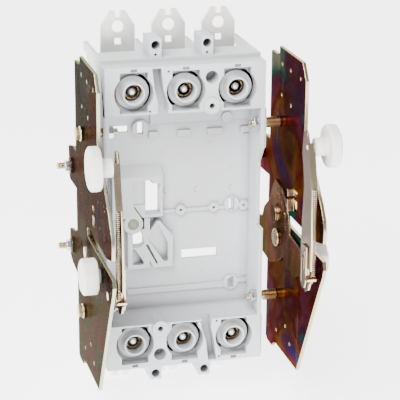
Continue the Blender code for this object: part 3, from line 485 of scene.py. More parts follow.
def material(name):
    """The named finish, made on first use."""
    found = bpy.data.materials.get(name)
    if found:
        return found
    scene = bpy.context.scene
    plastics = scene.plug_in_moulding
    metals = scene.plug_in_plating
    rims = (tuple(metals.sheared), tuple(metals.sheared_pale))
    pale_rims = ((0.52, 0.47, 0.32), (0.44, 0.50, 0.36))
    lever_rims = ((0.66, 0.54, 0.40), (0.62, 0.50, 0.34))
    tarnish = (0.89, 0.87, 0.82)
    makers = {
        # For the plastics the second colour gives the random patches and, darkened, the painted shade in
        # crevices
        "grey moulding": (plastic, plastics.grey, plastics.grey_shade, 0.5),
        "ivory knob": (plastic, plastics.ivory, plastics.ivory_shade, 0.38, 0.1, 900.0),
        "olive plug": (plastic, plastics.olive, (0.24, 0.23, 0.16), 0.55),
        "silver-plated copper": (plain_metal, metals.silver, tarnish, 0.42, 0.1, 700.0, 40.0),
        "contact brass": (plain_metal, scene.plug_in_contact.brass, (0.10, 0.06, 0.03), 0.35),
        "bright zinc": (plain_metal, metals.zinc, (0.50, 0.55, 0.60), 0.22),
        "yellow chromate": (plain_metal, metals.brass, (0.46, 0.33, 0.17), 0.24),
        "dark spring steel": (plain_metal, (0.10, 0.08, 0.06), (0.20, 0.15, 0.09), 0.32),
        "spring wire": (plain_metal, (0.62, 0.53, 0.34), (0.50, 0.42, 0.27), 0.28),
        "left plate film": (film_material, "left_side_plate", pale_rims),
        "right plate film": (film_material, "right_side_plate", rims),
        "cam film": (film_material, "cam_plate", rims),
        "lever film": (film_material, "lever", lever_rims),
    }
    maker, *values = makers[name]
    return maker(name, *values)


# --- Mesh helpers ---


def new_object(name, mesh):
    obj = bpy.data.objects.new(name, mesh)
    bpy.context.scene.collection.objects.link(obj)
    return obj


def mesh_from(bm, name):
    bmesh.ops.recalc_face_normals(bm, faces=bm.faces)
    mesh = bpy.data.meshes.new(name)
    bm.to_mesh(mesh)
    bm.free()
    return mesh


def apply_modifiers(obj):
    """Bakes an object's modifiers into its mesh and drops them."""
    bpy.context.view_layer.update()
    graph = bpy.context.evaluated_depsgraph_get()
    mesh = bpy.data.meshes.new_from_object(obj.evaluated_get(graph))
    obj.modifiers.clear()
    obj.data = mesh
    return obj


def settle(obj, name, finish, body, stands_for=(), sharp=35):
    """Names and finishes a piece, smooths its shading and gives it to its body."""
    obj.name = name
    obj.data.name = name
    obj.data.materials.clear()
    obj.data.materials.append(material(finish))
    if sharp is not None:
        obj.data.shade_smooth()
        obj.data.set_sharp_from_angle(angle=math.radians(sharp))
    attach(obj, body)
    if stands_for:
        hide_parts(*stands_for)
    return obj


def merged_copy(node):
    """A copy of a packed node's mesh, its loose triangles merged and its flat faces made whole."""
    bm = bmesh.new()
    bm.from_mesh(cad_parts[node].data)
    bmesh.ops.remove_doubles(bm, verts=bm.verts, dist=2e-6)
    bmesh.ops.dissolve_limit(
        bm, angle_limit=math.radians(0.5), verts=bm.verts, edges=bm.edges, use_dissolve_boundaries=False
    )
    mesh = bpy.data.meshes.new(node)
    bm.to_mesh(mesh)
    bm.free()
    stored = mesh.attributes.get("custom_normal")
    if stored:
        mesh.attributes.remove(stored)
    return new_object(node, mesh)


def combine(obj, other, operation):
    """Cuts another object from this one or joins it on, and removes the other."""
    boolean = obj.modifiers.new(operation.title(), "BOOLEAN")
    boolean.operation = operation
    boolean.solver = "EXACT"
    boolean.object = other
    apply_modifiers(obj)
    discard(other)
    return obj


def round_edges(obj, width, segments=2, limit=32):
    """Rounds an object's sharp edges, keeping its flat faces flat in the shading."""
    obj.data.shade_smooth()
    bevel = obj.modifiers.new("Rounded edges", "BEVEL")
    bevel.width = width
    bevel.segments = segments
    bevel.limit_method = "ANGLE"
    bevel.angle_limit = math.radians(limit)
    bevel.use_clamp_overlap = False
    bevel.loop_slide = False
    bevel.miter_outer = "MITER_ARC"
    weighted = obj.modifiers.new("Flat faces", "WEIGHTED_NORMAL")
    weighted.mode = "FACE_AREA"
    weighted.weight = 100
    weighted.keep_sharp = False
    return apply_modifiers(obj)


def tool(name, *fillers):
    """A helper's object, made by functions that each add shapes to it."""
    bm = bmesh.new()
    for filler in fillers:
        filler(bm)
    return new_object(name, mesh_from(bm, name))


def discard(*helpers):
    for helper in helpers:
        bpy.data.objects.remove(helper, do_unlink=True)


def add_cube(bm, place, size):
    """Adds a block of this size in the middle of a place."""
    bmesh.ops.create_cube(bm, size=1, matrix=place @ Matrix.Diagonal((*size, 1)))


def add_block(bm, x, d, z):
    """Adds a block between two X, two depths and two heights."""
    low = Vector((min(x), depth(min(d)), min(z)))
    high = Vector((max(x), depth(max(d)), max(z)))
    add_cube(bm, Matrix.Translation((low + high) / 2), high - low)


def add_disc(bm, x, z, d, radius, sides=24):
    """Adds a cylinder along Y between two depths."""
    place = Matrix.Translation((x, depth((d[0] + d[1]) / 2), z)) @ ALONG_Y
    size = {"radius1": radius, "radius2": radius, "depth": abs(d[1] - d[0])}
    bmesh.ops.create_cone(bm, cap_ends=True, segments=sides, matrix=place, **size)


def add_turned(bm, profile, place, start=0.0, sweep=2 * math.pi, steps=48, shape=None):
    """Adds a solid turned about place's Z, from the (along, radius) corners of a closed profile.

    shape gives a factor of the radius at an angle.
    """
    whole = abs(sweep) > 2 * math.pi - 1e-6
    rings = []
    for step in range(steps if whole else steps + 1):
        turn = start + sweep * step / steps
        factor = shape(turn) if shape else 1.0
        ring = []
        for along, radius in profile:
            reach = radius * factor
            point = Vector((reach * math.cos(turn), reach * math.sin(turn), along))
            ring.append(bm.verts.new(place @ point))
        rings.append(ring)
    count = len(profile)
    pairs = zip(rings, rings[1:] + rings[:1] if whole else rings[1:])
    for first, second in pairs:
        for index in range(count):
            after = (index + 1) % count
            bm.faces.new((first[index], second[index], second[after], first[after]))
    if not whole:
        bm.faces.new(rings[0])
        bm.faces.new(reversed(rings[-1]))


def turned(name, profile, place, steps=64, shape=None):
    """A turned piece. A profile that touches the axis is closed there."""
    bm = bmesh.new()
    add_turned(bm, profile, place, steps=steps, shape=shape)
    bmesh.ops.remove_doubles(bm, verts=bm.verts, dist=1e-7)
    return new_object(name, mesh_from(bm, name))


def fillet(profile, radius, steps=3):
    """A closed profile with its corners rounded, except those on the axis."""
    rounded = []
    count = len(profile)
    for index, corner in enumerate(profile):
        here = Vector(corner)
        before = Vector(profile[index - 1]) - here
        after = Vector(profile[(index + 1) % count]) - here
        room = min(radius, before.length / 2.2, after.length / 2.2)
        if corner[1] < 1e-6 or room < 1e-6:
            rounded.append(corner)
            continue
        start = here + before.normalized() * room
        end = here + after.normalized() * room
        for step in range(steps + 1):
            t = step / steps
            point = (1 - t) ** 2 * start + 2 * t * (1 - t) * here + t**2 * end
            rounded.append((point.x, point.y))
    return rounded


def axis_x(hand, y, z):
    """A frame whose Z runs outwards along X on that side, from the middle plane."""
    turn = ALONG_X if hand > 0 else Matrix.Rotation(-math.pi / 2, 4, "Y")
    return Matrix.Translation((0, y, z)) @ turn


def centre_of(node):
    low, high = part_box(node)
    return (low + high) / 2


def extent(node):
    """(nearest, farthest) distance of a node from the middle plane, its Y and Z centre and its radius."""
    low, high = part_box(node)
    near, far = sorted((abs(low.x), abs(high.x)))
    return near, far, (low.y + high.y) / 2, (low.z + high.z) / 2, (high.z - low.z) / 2


# --- Geometry node trees ---


def geometry_tree(name, inputs):
    """An empty tree with a geometry output and the named inputs."""
    tree = bpy.data.node_groups.new(name, "GeometryNodeTree")
    tree.is_modifier = True
    group_socket(tree, "Geometry", GEOMETRY)
    for label, kind, default in inputs:
        group_socket(tree, label, kind, default)
    group_socket(tree, "Geometry", GEOMETRY, output=True)
    entry = tree.nodes.new("NodeGroupInput").outputs
    leave = tree.nodes.new("NodeGroupOutput").inputs
    return tree, entry, leave


def finish_tree(tree, entry, leave, geometry):
    """Realises the instances and sets the material, as the last two steps of a tree."""
    real = add_node(tree, "GeometryNodeRealizeInstances", {0: geometry})
    inputs = {"Geometry": real.outputs[0], "Material": entry["Material"]}
    painted = add_node(tree, "GeometryNodeSetMaterial", inputs)
    tree.links.new(painted.outputs[0], leave["Geometry"])
    return tree


def coil_tree():
    """A coil of round wire that climbs along Z: a spring or a screw's thread."""
    tree, entry, leave = geometry_tree(
        "Wire coil",
        (
            ("Turns", FLOAT, 10.0),
            ("Steps", COUNT, 16),
            ("Coil radius", FLOAT, 0.002),
            ("Wire radius", FLOAT, 0.0004),
            ("Length", FLOAT, 0.02),
            ("Wire sides", COUNT, 8),
            ("Material", FINISH, None),
        ),
    )
    spiral = add_node(
        tree,
        "GeometryNodeCurveSpiral",
        {
            "Resolution": entry["Steps"],
            "Rotations": entry["Turns"],
            "Start Radius": entry["Coil radius"],
            "End Radius": entry["Coil radius"],
            "Height": entry["Length"],
        },
    )
    inputs = {"Resolution": entry["Wire sides"], "Radius": entry["Wire radius"]}
    section = add_node(tree, "GeometryNodeCurvePrimitiveCircle", inputs)
    wire = add_node(
        tree,
        "GeometryNodeCurveToMesh",
        {"Curve": spiral.outputs[0], "Profile Curve": section.outputs[0], "Fill Caps": True},
    )
    return finish_tree(tree, entry, leave, wire.outputs[0])


def copies_of(tree, entry, points, turn):
    """A copy of the tree's piece on each point, turned."""
    piece = add_node(tree, "GeometryNodeObjectInfo", {"Object": entry["Piece"]})
    inputs = {"Points": points.outputs[0], "Instance": piece.outputs["Geometry"], "Rotation": turn.outputs[0]}
    return add_node(tree, "GeometryNodeInstanceOnPoints", inputs).outputs[0]


def ring_tree():
    """Copies of one piece, turned evenly round Z."""
    tree, entry, leave = geometry_tree(
        "Ring of pieces",
        (("Piece", PIECE, None), ("Count", COUNT, 8), ("Material", FINISH, None)),
    )
    points = add_node(tree, "GeometryNodePoints", {"Count": entry["Count"]})
    index = tree.nodes.new("GeometryNodeInputIndex").outputs[0]
    share = maths(tree, "DIVIDE", index, entry["Count"])
    turn = add_node(tree, "ShaderNodeCombineXYZ", {"Z": maths(tree, "MULTIPLY", share, 2 * math.pi)})
    rotation = add_node(tree, "FunctionNodeEulerToRotation", {0: turn.outputs[0]})
    return finish_tree(tree, entry, leave, copies_of(tree, entry, points, rotation))


def path_tree():
    """Copies of one piece at even steps along a path, each turned to follow it about X."""
    tree, entry, leave = geometry_tree(
        "Row along a path",
        (
            ("Piece", PIECE, None),
            ("Path", PIECE, None),
            ("Count", COUNT, 12),
            ("Material", FINISH, None),
        ),
    )
    path = add_node(tree, "GeometryNodeObjectInfo", {"Object": entry["Path"]}, transform_space="RELATIVE")
    inputs = {"Curve": path.outputs["Geometry"], "Count": entry["Count"]}
    points = add_node(tree, "GeometryNodeCurveToPoints", inputs, mode="COUNT")
    inputs = {"Vector": points.outputs["Tangent"]}
    turn = add_node(tree, "FunctionNodeAlignRotationToVector", inputs, axis="Y", pivot_axis="X")
    return finish_tree(tree, entry, leave, copies_of(tree, entry, points, turn))


def grown(name, builder, place, **inputs):
    """A plain mesh made by a node tree with these inputs, then put in its place."""
    mesh = bpy.data.meshes.new(name)
    obj = new_object(name, mesh)
    modifier = obj.modifiers.new("Grow", "NODES")
    modifier.node_group = shared_group(builder)
    wanted = {key.replace("_", " "): value for key, value in inputs.items()}
    for item in modifier.node_group.interface.items_tree:
        if item.item_type == "SOCKET" and item.in_out == "INPUT" and item.name in wanted:
            modifier[item.identifier] = wanted[item.name]
    apply_modifiers(obj)
    obj.data.transform(place)
    return obj


def wound(place, length, turns, steps, radius, wire, sides, finish):
    """A coil of wire that climbs along a place's Z."""
    sizes = {"Turns": turns, "Steps": steps, "Coil_radius": radius, "Wire_radius": wire}
    return grown(
        "coil", coil_tree, place, Length=length, Wire_sides=sides, Material=material(finish), **sizes
    )


# --- Base moulding ---


def socket_centres():
    """(row, column, sign of the row, x, z) of each socket."""
    for row, sign in ROWS:
        for column in COLUMNS:
            centre = centre_of(f"{row}_{column}_collar")
            yield row, column, sign, centre.x, centre.z


def arc_cutter(bm, x, z, d, radius, width, start, end, steps=14):
    """Adds a curved slit round a centre, between two angles in degrees and two depths."""
    place = Matrix.Translation((x, 0, z)) @ Matrix.Rotation(math.pi / 2, 4, "X")
    near, far = -depth(d[0]), -depth(d[1])
    profile = [(near, radius), (near, radius + width), (far, radius + width), (far, radius)]
    add_turned(bm, profile, place, math.radians(start), math.radians(end - start), steps)


SLIT_R = 15.8 * MM
SLIT_FACE = 9.6 * MM  # the depth that the slits and notches start at


def socket_cuts(bm, settings):
    """The slits and small notches round each socket."""
    slit = (SLIT_FACE, 15 * MM)
    for _, column, sign, x, z in socket_centres():
        arc_cutter(bm, x, z, slit, SLIT_R, settings.slit, -48, 62)
        if column != "left":
            arc_cutter(bm, x, z, slit, SLIT_R, settings.slit, 128, 236)
        notch = (sign * 132.2 * MM, sign * 134.7 * MM)
        add_block(bm, (x - 2.6 * MM, x + 2.6 * MM), (-MM, 2.2 * MM), notch)
        key = (z - sign * 12 * MM, z - sign * 16.2 * MM)
        add_block(bm, (x + 12.8 * MM, x + 13.8 * MM), (SLIT_FACE, 14 * MM), key)


# The X and Z of each, in millimetres.
SCREW_DOTS = ((-31.2, 97.6), (-15.2, 131.4), (15.0, -97.6), (29.0, -97.8), (31.4, -132.0))
CRESCENTS = ((-8.3, 15), (19.9, 13.8), (52, 13.3))
PIN_MARKS = ((31, 56.5), (25.5, -63.5), (-12, 50), (-2, -23), (50, 33))
FLOOR = 38.4 * MM  # the depth of the recess's floor
STEP = 37.1 * MM  # the depth of the steps along its sides


def floor_cuts(bm):
    """Crescents and the shallow recess in the floor, and screw dots in the blocks."""
    for x, z in SCREW_DOTS:
        add_disc(bm, x * MM, z * MM, (-MM, 5 * MM), 0.95 * MM, 16)
    for x, z in CRESCENTS:
        arc_cutter(bm, x * MM, z * MM, (37 * MM, 38.6 * MM), 2.3 * MM, 0.7 * MM, 100, 260, 10)
    add_block(bm, (-39.3 * MM, -29.4 * MM), (29 * MM, 31 * MM), (5.6 * MM, 26.4 * MM))


def floor_additions(bm):
    """Ribs and steps that stand on the floor and along the walls."""
    for side in (-1, 1):
        add_block(bm, (side * 69.6 * MM, side * 71.2 * MM), (0.2 * MM, 3.4 * MM), (59.5 * MM, 94.6 * MM))
        add_block(bm, (side * 69.6 * MM, side * 70.9 * MM), (0.2 * MM, 3.0 * MM), (-133 * MM, -96 * MM))
    for low, high in ((61.5, 66.9), (-66.9, -60.5)):
        add_block(bm, (low * MM, high * MM), (STEP, FLOOR), (-71 * MM, 62.5 * MM))
    for x, z in PIN_MARKS:
        add_disc(bm, x * MM, z * MM, (37.6 * MM, FLOOR), 1.25 * MM, 20)


def slanted_slit(bm):
    """The slit beside the raised panel, from upper left to lower right."""
    start, end = Vector((-38.9 * MM, 4.0 * MM)), Vector((-30.4 * MM, -8.6 * MM))
    middle, along = (start + end) / 2, end - start
    turn = Matrix.Rotation(-math.atan2(along.y, along.x), 4, "Y")
    place = Matrix.Translation((middle.x, depth(31 * MM), middle.y)) @ turn
    add_cube(bm, place, (along.length, 4 * MM, 1.1 * MM))


class BREAKER_OT_moulding(bpy.types.Operator):
    """Builds the base moulding with its slits, ribs and rounded edges"""

    bl_idname = "breaker.moulding"
    bl_label = "Base Moulding"

    def execute(self, context):
        settings = context.scene.plug_in_moulding
        body = merged_copy("base_moulding")
        combine(body, tool("ribs", floor_additions), "UNION")
        cuts = tool("slits", lambda bm: socket_cuts(bm, settings), floor_cuts, slanted_slit)
        combine(body, cuts, "DIFFERENCE")
        round_edges(body, settings.edge)
        settle(body, "base_shell", "grey moulding", "base", ("base_moulding",), None)
        return {"FINISHED"}


class BREAKER_OT_guide(bpy.types.Operator):
    """Builds the auxiliary plug's guide and the inspection plug"""

    bl_idname = "breaker.guide"
    bl_label = "Auxiliary Guide"

    def execute(self, context):
        settings = context.scene.plug_in_moulding
        guide = round_edges(merged_copy("auxiliary_guide"), settings.edge)
        stands_for = ("auxiliary_guide",)
        settle(guide, "auxiliary_plug_guide", "grey moulding", "base", stands_for, None)
        low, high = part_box("inspection_plug")
        centre = (low + high) / 2
        place = Matrix.Translation((centre.x, 0, centre.z)) @ ALONG_Y
        radius = (high.x - low.x) / 2
        profile = ((low.y, 0), (low.y, radius * 0.6), (low.y + 0.5 * MM, radius * 0.7), (low.y, radius * 0.8))
        profile += ((low.y, radius), (high.y, radius), (high.y, 0))
        plug = turned("plug", fillet(profile, 0.3 * MM), place)
        settle(plug, "inspection_plug_cap", "olive plug", "base", ("inspection_plug",))
        return {"FINISHED"}


# --- Sockets and terminals ---


def contact_finger(settings, low, high, radius):
    """One finger of a contact: a curved strip that narrows towards its mouth."""
    wall = settings.wall
    outer = (
        (low, radius * 0.86),
        (low + 0.9 * MM, radius * 0.91),
        (low + 2.8 * MM, radius),
        (high - 8 * MM, radius),
        (high - 6.5 * MM, radius * 0.96),
        (high, radius * 0.96),
    )
    inner = [(along, reach - wall) for along, reach in reversed(outer)]
    bm = bmesh.new()
    share = 2 * math.pi / settings.fingers
    gap = 0.09 * share
    add_turned(bm, [*outer, *inner], Matrix.Identity(4), gap, share - 2 * gap, 6)
    return new_object("finger", mesh_from(bm, "finger"))


class BREAKER_OT_sockets(bpy.types.Operator):
    """Builds the six sockets: a stepped collar and a ring of sprung contact fingers in each"""

    bl_idname = "breaker.sockets"
    bl_label = "Sockets"

    def execute(self, context):
        settings = context.scene.plug_in_contact
        for row, column, _, x, z in socket_centres():
            name = f"{row}_{column}"
            place = Matrix.Translation((x, 0, z)) @ ALONG_Y
            self.collar(name, place)
            low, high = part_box(f"{name}_tulip_contact")
            finger = contact_finger(settings, low.y, high.y, (high.x - low.x) / 2)
            finish, stands_for = "contact brass", (f"{name}_tulip_contact",)
            inputs = {"Piece": finger, "Count": settings.fingers, "Material": material(finish)}
            ring = grown("ring", ring_tree, place, **inputs)
            discard(finger)
            settle(ring, f"{name}_contact_fingers", finish, "base", stands_for)
        return {"FINISHED"}

    @staticmethod
    def collar(name, place):
        low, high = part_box(f"{name}_collar")
        front, rear = low.y, high.y
        flange = (high.x - low.x) / 2
        profile = (
            (front, 8.4 * MM),
            (front, 9.8 * MM),
            (front + 5.2 * MM, 10.0 * MM),
            (front + 6.0 * MM, 10.9 * MM),
            (front + 7.0 * MM, 10.9 * MM),
            (front + 7.6 * MM, flange - 0.3 * MM),
            (front + 10.4 * MM, flange),
            (front + 10.4 * MM, 10.9 * MM),
            (rear, 10.9 * MM),
            (rear, 8.3 * MM),
            (front + 1.0 * MM, 8.0 * MM),
        )
        collar = turned("collar", fillet(profile, 0.35 * MM), place, 96)
        stands_for = (f"{name}_collar",)
        settle(collar, f"{name}_socket_collar", "grey moulding", "base", stands_for, 30)


class BREAKER_OT_terminals(bpy.types.Operator):
    """Builds the six plated terminal bars with their contact pins"""

    bl_idname = "breaker.terminals"
    bl_label = "Terminals"

    def execute(self, context):
        for row, _ in ROWS:
            for column in COLUMNS:
                node = f"{row}_{column}_terminal"
                bar = round_edges(merged_copy(node), 0.3 * MM)
                settle(bar, f"{node}_bar", "silver-plated copper", "base", (node,), None)
        return {"FINISHED"}


# --- Side assemblies ---


FINE_EDGE = 0.3 * MM
THIN_EDGE = 0.25 * MM
PIN_FINISH = ("yellow chromate", "base", FINE_EDGE, "zinc_steel")


def sheet_piece(node, name, finish, body, edge, slot="yellow_plated_steel"):
    """A sheet-steel piece: its node's shape with rounded edges."""
    return settle(round_edges(merged_copy(node), edge), name, finish, body, (node,), None)


TEETH = 17
TEETH_ROUTE = [(-4, 21.5), (-13, 17.5), (-21, 11.5), (-27, 3.5), (-30, -6)]  # depth and height


class BREAKER_OT_plates(bpy.types.Operator):
    """Builds the two side plates and their draw-out cams with cut teeth"""

    bl_idname = "breaker.plates"
    bl_label = "Side Plates"

    def execute(self, context):
        settings = context.scene.plug_in_plating
        for side, _ in SIDES:
            film, cam = f"{side} plate film", f"{side}_cam"
            sheet_piece(f"{side}_side_plate", f"{side}_guide_plate", film, "base", settings.edge)
            sheet_piece(f"{side}_cam_plate", f"{side}_draw_out_cam", "cam film", cam, THIN_EDGE)
            self.teeth(side)
            sheet_piece(f"{side}_cam_pin", f"{side}_cam_pivot", *PIN_FINISH)
        return {"FINISHED"}

    @staticmethod
    def teeth(side):
        """Fine teeth that stand on the inner face of the cam, along its upper front edge."""
        low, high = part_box(f"{side}_cam_plate")
        inner = low.x if side == "right" else high.x
        curve = bpy.data.curves.new("teeth path", "CURVE")
        curve.dimensions = "3D"
        spline = curve.splines.new("POLY")
        spline.points.add(len(TEETH_ROUTE) - 1)
        for point, (d, z) in zip(spline.points, TEETH_ROUTE):
            point.co = (inner, depth(d * MM), z * MM, 1)
        path = new_object("teeth path", curve)
        tooth = tool("tooth", lambda bm: add_cube(bm, Matrix.Identity(4), (0.9 * MM, 0.8 * MM, 3.4 * MM)))
        inputs = {"Piece": tooth, "Path": path, "Count": TEETH, "Material": material("cam film")}
        row = grown("row", path_tree, Matrix.Identity(4), **inputs)
        discard(tooth, path)
        settle(row, f"{side}_cam_teeth", "cam film", f"{side}_cam")


class BREAKER_OT_levers(bpy.types.Operator):
    """Builds the levers, latch slides and latch springs"""

    bl_idname = "breaker.levers"
    bl_label = "Levers"

    def execute(self, context):
        settings = context.scene.plug_in_spring
        for side, _ in SIDES:
            arm = f"{side}_lever_arm"
            latch, strip = f"{side}_latch", f"{side}_latch_strip"
            sheet_piece(f"{side}_lever", f"{side}_lever_channel", "lever film", arm, FINE_EDGE)
            sheet_piece(f"{side}_latch_slide", strip, "lever film", latch, THIN_EDGE)
            sheet_piece(f"{side}_lever_pin", f"{side}_lever_pivot", *PIN_FINISH)
            self.spring(side, settings)
        return {"FINISHED"}

    @staticmethod
    def spring(side, settings):
        """A coil between the bent web above it and the latch's seat below it."""
        low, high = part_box(f"{side}_latch_spring")
        margin = settings.radius + settings.wire
        x = (low.x + high.x) / 2
        foot = Vector((x, low.y + margin, low.z + settings.wire))
        top = Vector((x, high.y - margin, high.z - settings.wire))
        along = top - foot
        place = Matrix.Translation(foot) @ along.to_track_quat("Z", "Y").to_matrix().to_4x4()
        turns, finish = float(settings.turns), "spring wire"
        coil = wound(place, along.length, turns, 14, settings.radius, settings.wire, 7, finish)
        arm, stands_for = f"{side}_lever_arm", (f"{side}_latch_spring",)
        settle(coil, f"{side}_spring_coil", finish, arm, stands_for, 60)


def scalloped(turn):
    """A knob's rim with sixteen shallow flats."""
    return 1 - 0.010 * (1 - math.cos(16 * turn)) / 2


def eight_flats(turn):
    """A round rim with eight flats cut in it."""
    step = math.pi / 4
    off = (turn + step / 2) % step - step / 2
    return min(1.0, 0.945 / math.cos(off))


STEM_R = 7.6 * MM
NECK_R = 1.9 * MM
SHAFT_R = 6 * MM
OPERATING_THICK = 9.1 * MM
LOCK_THICK = 13.2 * MM


class BREAKER_OT_knobs(bpy.types.Operator):
    """Builds the operating knobs and the lock knobs"""

    bl_idname = "breaker.knobs"
    bl_label = "Knobs"

    def execute(self, context):
        for side, hand in SIDES:
            self.operating_knob(side, hand)
            self.lock_knob(side, hand)
        return {"FINISHED"}

    @staticmethod
    def operating_knob(side, hand):
        near, far, y, z, radius = extent(f"{side}_operating_knob")
        back = far - OPERATING_THICK
        profile = (
            (near, 0),
            (near, NECK_R),
            (near + 6.2 * MM, NECK_R),
            (near + 6.2 * MM, STEM_R),
            (back - 1.2 * MM, STEM_R),
            (back - 0.2 * MM, STEM_R + 1.6 * MM),
            (back - 0.2 * MM, radius - 1.4 * MM),
            (back + 0.8 * MM, radius - 0.2 * MM),
            (back + 2.4 * MM, radius),
            (far - 1.6 * MM, radius),
            (far, radius - 2.2 * MM),
            (far, radius - 5.0 * MM),
            (far - 0.9 * MM, radius - 5.8 * MM),
            (far - 0.9 * MM, 0),
        )
        knob = turned("knob", fillet(profile, 0.7 * MM), axis_x(hand, y, z), 128, scalloped)
        arm, stands_for = f"{side}_lever_arm", (f"{side}_operating_knob",)
        settle(knob, f"{side}_knob", "ivory knob", arm, stands_for, 40)

    @staticmethod
    def lock_knob(side, hand):
        near, far, y, z, radius = extent(f"{side}_lock_knob")
        back = far - LOCK_THICK
        profile = (
            (near, 0),
            (near, SHAFT_R),
            (back, SHAFT_R),
            (back, radius - 0.8 * MM),
            (back + 0.8 * MM, radius),
            (far - 1.6 * MM, radius),
            (far, radius - 2.0 * MM),
            (far, 0),
        )
        knob = turned("knob", fillet(profile, 0.6 * MM), axis_x(hand, y, z), 128, eight_flats)
        place = Matrix.Translation((hand * far, y + 6 * MM, z))
        slit = tool("slit", lambda bm: add_cube(bm, place, (2.4 * MM, 1.5 * MM, 8 * MM)))
        combine(knob, slit, "DIFFERENCE")
        lock, stands_for = f"{side}_lock", (f"{side}_lock_knob",)
        settle(knob, f"{side}_lock_handle", "ivory knob", lock, stands_for, 40)


# --- Fasteners ---


def washer_tooth():
    """One twisted tooth of a lock washer, pointing along +X."""
    place = Matrix.Translation((6.1 * MM, 0, 0)) @ Matrix.Rotation(math.radians(28), 4, "X")
    return tool("tooth", lambda bm: add_cube(bm, place, (2.4 * MM, 1.7 * MM, 0.55 * MM)))


def lock_washer(name, hand, node, along, settings):
    """A toothed washer round a fastener's axis, at a distance from the middle plane."""
    centre = centre_of(node)
    place = axis_x(hand, centre.y, centre.z) @ Matrix.Translation((0, 0, along))
    tooth = washer_tooth()
    finish = "dark spring steel"
    teeth = grown("teeth", ring_tree, place, Piece=tooth, Count=settings.teeth, Material=material(finish))
    discard(tooth)
    settle(teeth, f"{name}_teeth", finish, "base")
    half = 0.35 * MM
    profile = ((-half, 3.5 * MM), (-half, 5.6 * MM), (half, 5.6 * MM), (half, 3.5 * MM))
    ring = turned("ring", fillet(profile, 0.15 * MM), place, 40)
    settle(ring, f"{name}_ring", finish, "base")


def thread(name, hand, node, span, radius, settings, look):
    """A thread round a fastener's shank, between two distances from the middle plane."""
    centre = centre_of(node)
    place = axis_x(hand, centre.y, centre.z) @ Matrix.Translation((0, 0, span[0]))
    finish, slot = look
    size = span[1] - span[0]
    coil = wound(place, size, size / settings.pitch, 16, radius, settings.ridge, 5, finish)
    settle(coil, name, finish, "base", (), 60)


BOLT_R = 2.9 * MM
STUD_R = 2.8 * MM
FASTENER_EDGE = 0.35 * MM
YELLOW = ("yellow chromate", "yellow_fastener")
ZINC = ("bright zinc", "zinc_steel")
KINDS = {"spacer": YELLOW, "bolt": YELLOW, "stud": YELLOW, "nut": ZINC, "stud_nut": ZINC}


class BREAKER_OT_fasteners(bpy.types.Operator):
    """Builds the spacers, bolts, studs, nuts, threads and toothed washers"""

    bl_idname = "breaker.fasteners"
    bl_label = "Fasteners"

    def execute(self, context):
        settings = context.scene.plug_in_fastener
        for side, hand in SIDES:
            for row, _ in ROWS:
                name = f"{side}_{row}"
                for kind, (finish, slot) in KINDS.items():
                    finished = f"{name}_{kind}_finished"
                    sheet_piece(f"{name}_{kind}", finished, finish, "base", FASTENER_EDGE, slot)
                nut, stud_nut = f"{name}_nut", f"{name}_stud_nut"
                span = (extent(f"{name}_bolt")[0] + 0.6 * MM, extent(nut)[0] + 0.4 * MM)
                thread(f"{name}_bolt_thread", hand, nut, span, BOLT_R, settings, ZINC)
                seat, top = extent(stud_nut)[:2]
                span = (top - 0.4 * MM, extent(f"{name}_stud")[1] - 0.8 * MM)
                thread(f"{name}_stud_thread", hand, stud_nut, span, STUD_R, settings, YELLOW)
                lock_washer(f"{name}_stud_washer", hand, stud_nut, seat - 0.6 * MM, settings)
        return {"FINISHED"}


# --- Stage ---


def pale_floor(name, glow):
    made, tree, shader, place = new_material(name)
    texture = place_group(tree, grain_group, Vector=place, Fine_scale=60.0, Patch_scale=2.0)
    tone = blend_colours(tree, texture["Patches"], (0.94, 0.94, 0.94, 1), (0.92, 0.92, 0.92, 1))
    tree.links.new(tone, shader.inputs["Base Color"])
    shader.inputs["Roughness"].default_value = 0.8
    shader.inputs["Specular IOR Level"].default_value = 0.1
    shader.inputs["Emission Color"].default_value = (1, 1, 1, 1)
    shader.inputs["Emission Strength"].default_value = glow
    return made


def softbox(name, place, aim, size, power):
    lamp = bpy.data.lights.new(name, "AREA")
    lamp.shape = "SQUARE"
    lamp.size = size
    lamp.energy = power
    obj = bpy.data.objects.new(name, lamp)
    bpy.context.scene.collection.objects.link(obj)
    obj.location = place
    obj.rotation_euler = (Vector(aim) - Vector(place)).to_track_quat("-Z", "Y").to_euler()
    return obj


KEY_PLACE = (-1.0, -1.4, 1.7)
FILL_PLACE = (1.6, -1.2, 0.6)
FLOOR_HALF_WIDTH = 9.0
FLOOR_NEAR = -5.0  # Y of the floor's front edge
FLOOR_FAR = 3.0  # Y where it starts to curve up
BEND_R = 2.2
BACKDROP_TALL = 5.0


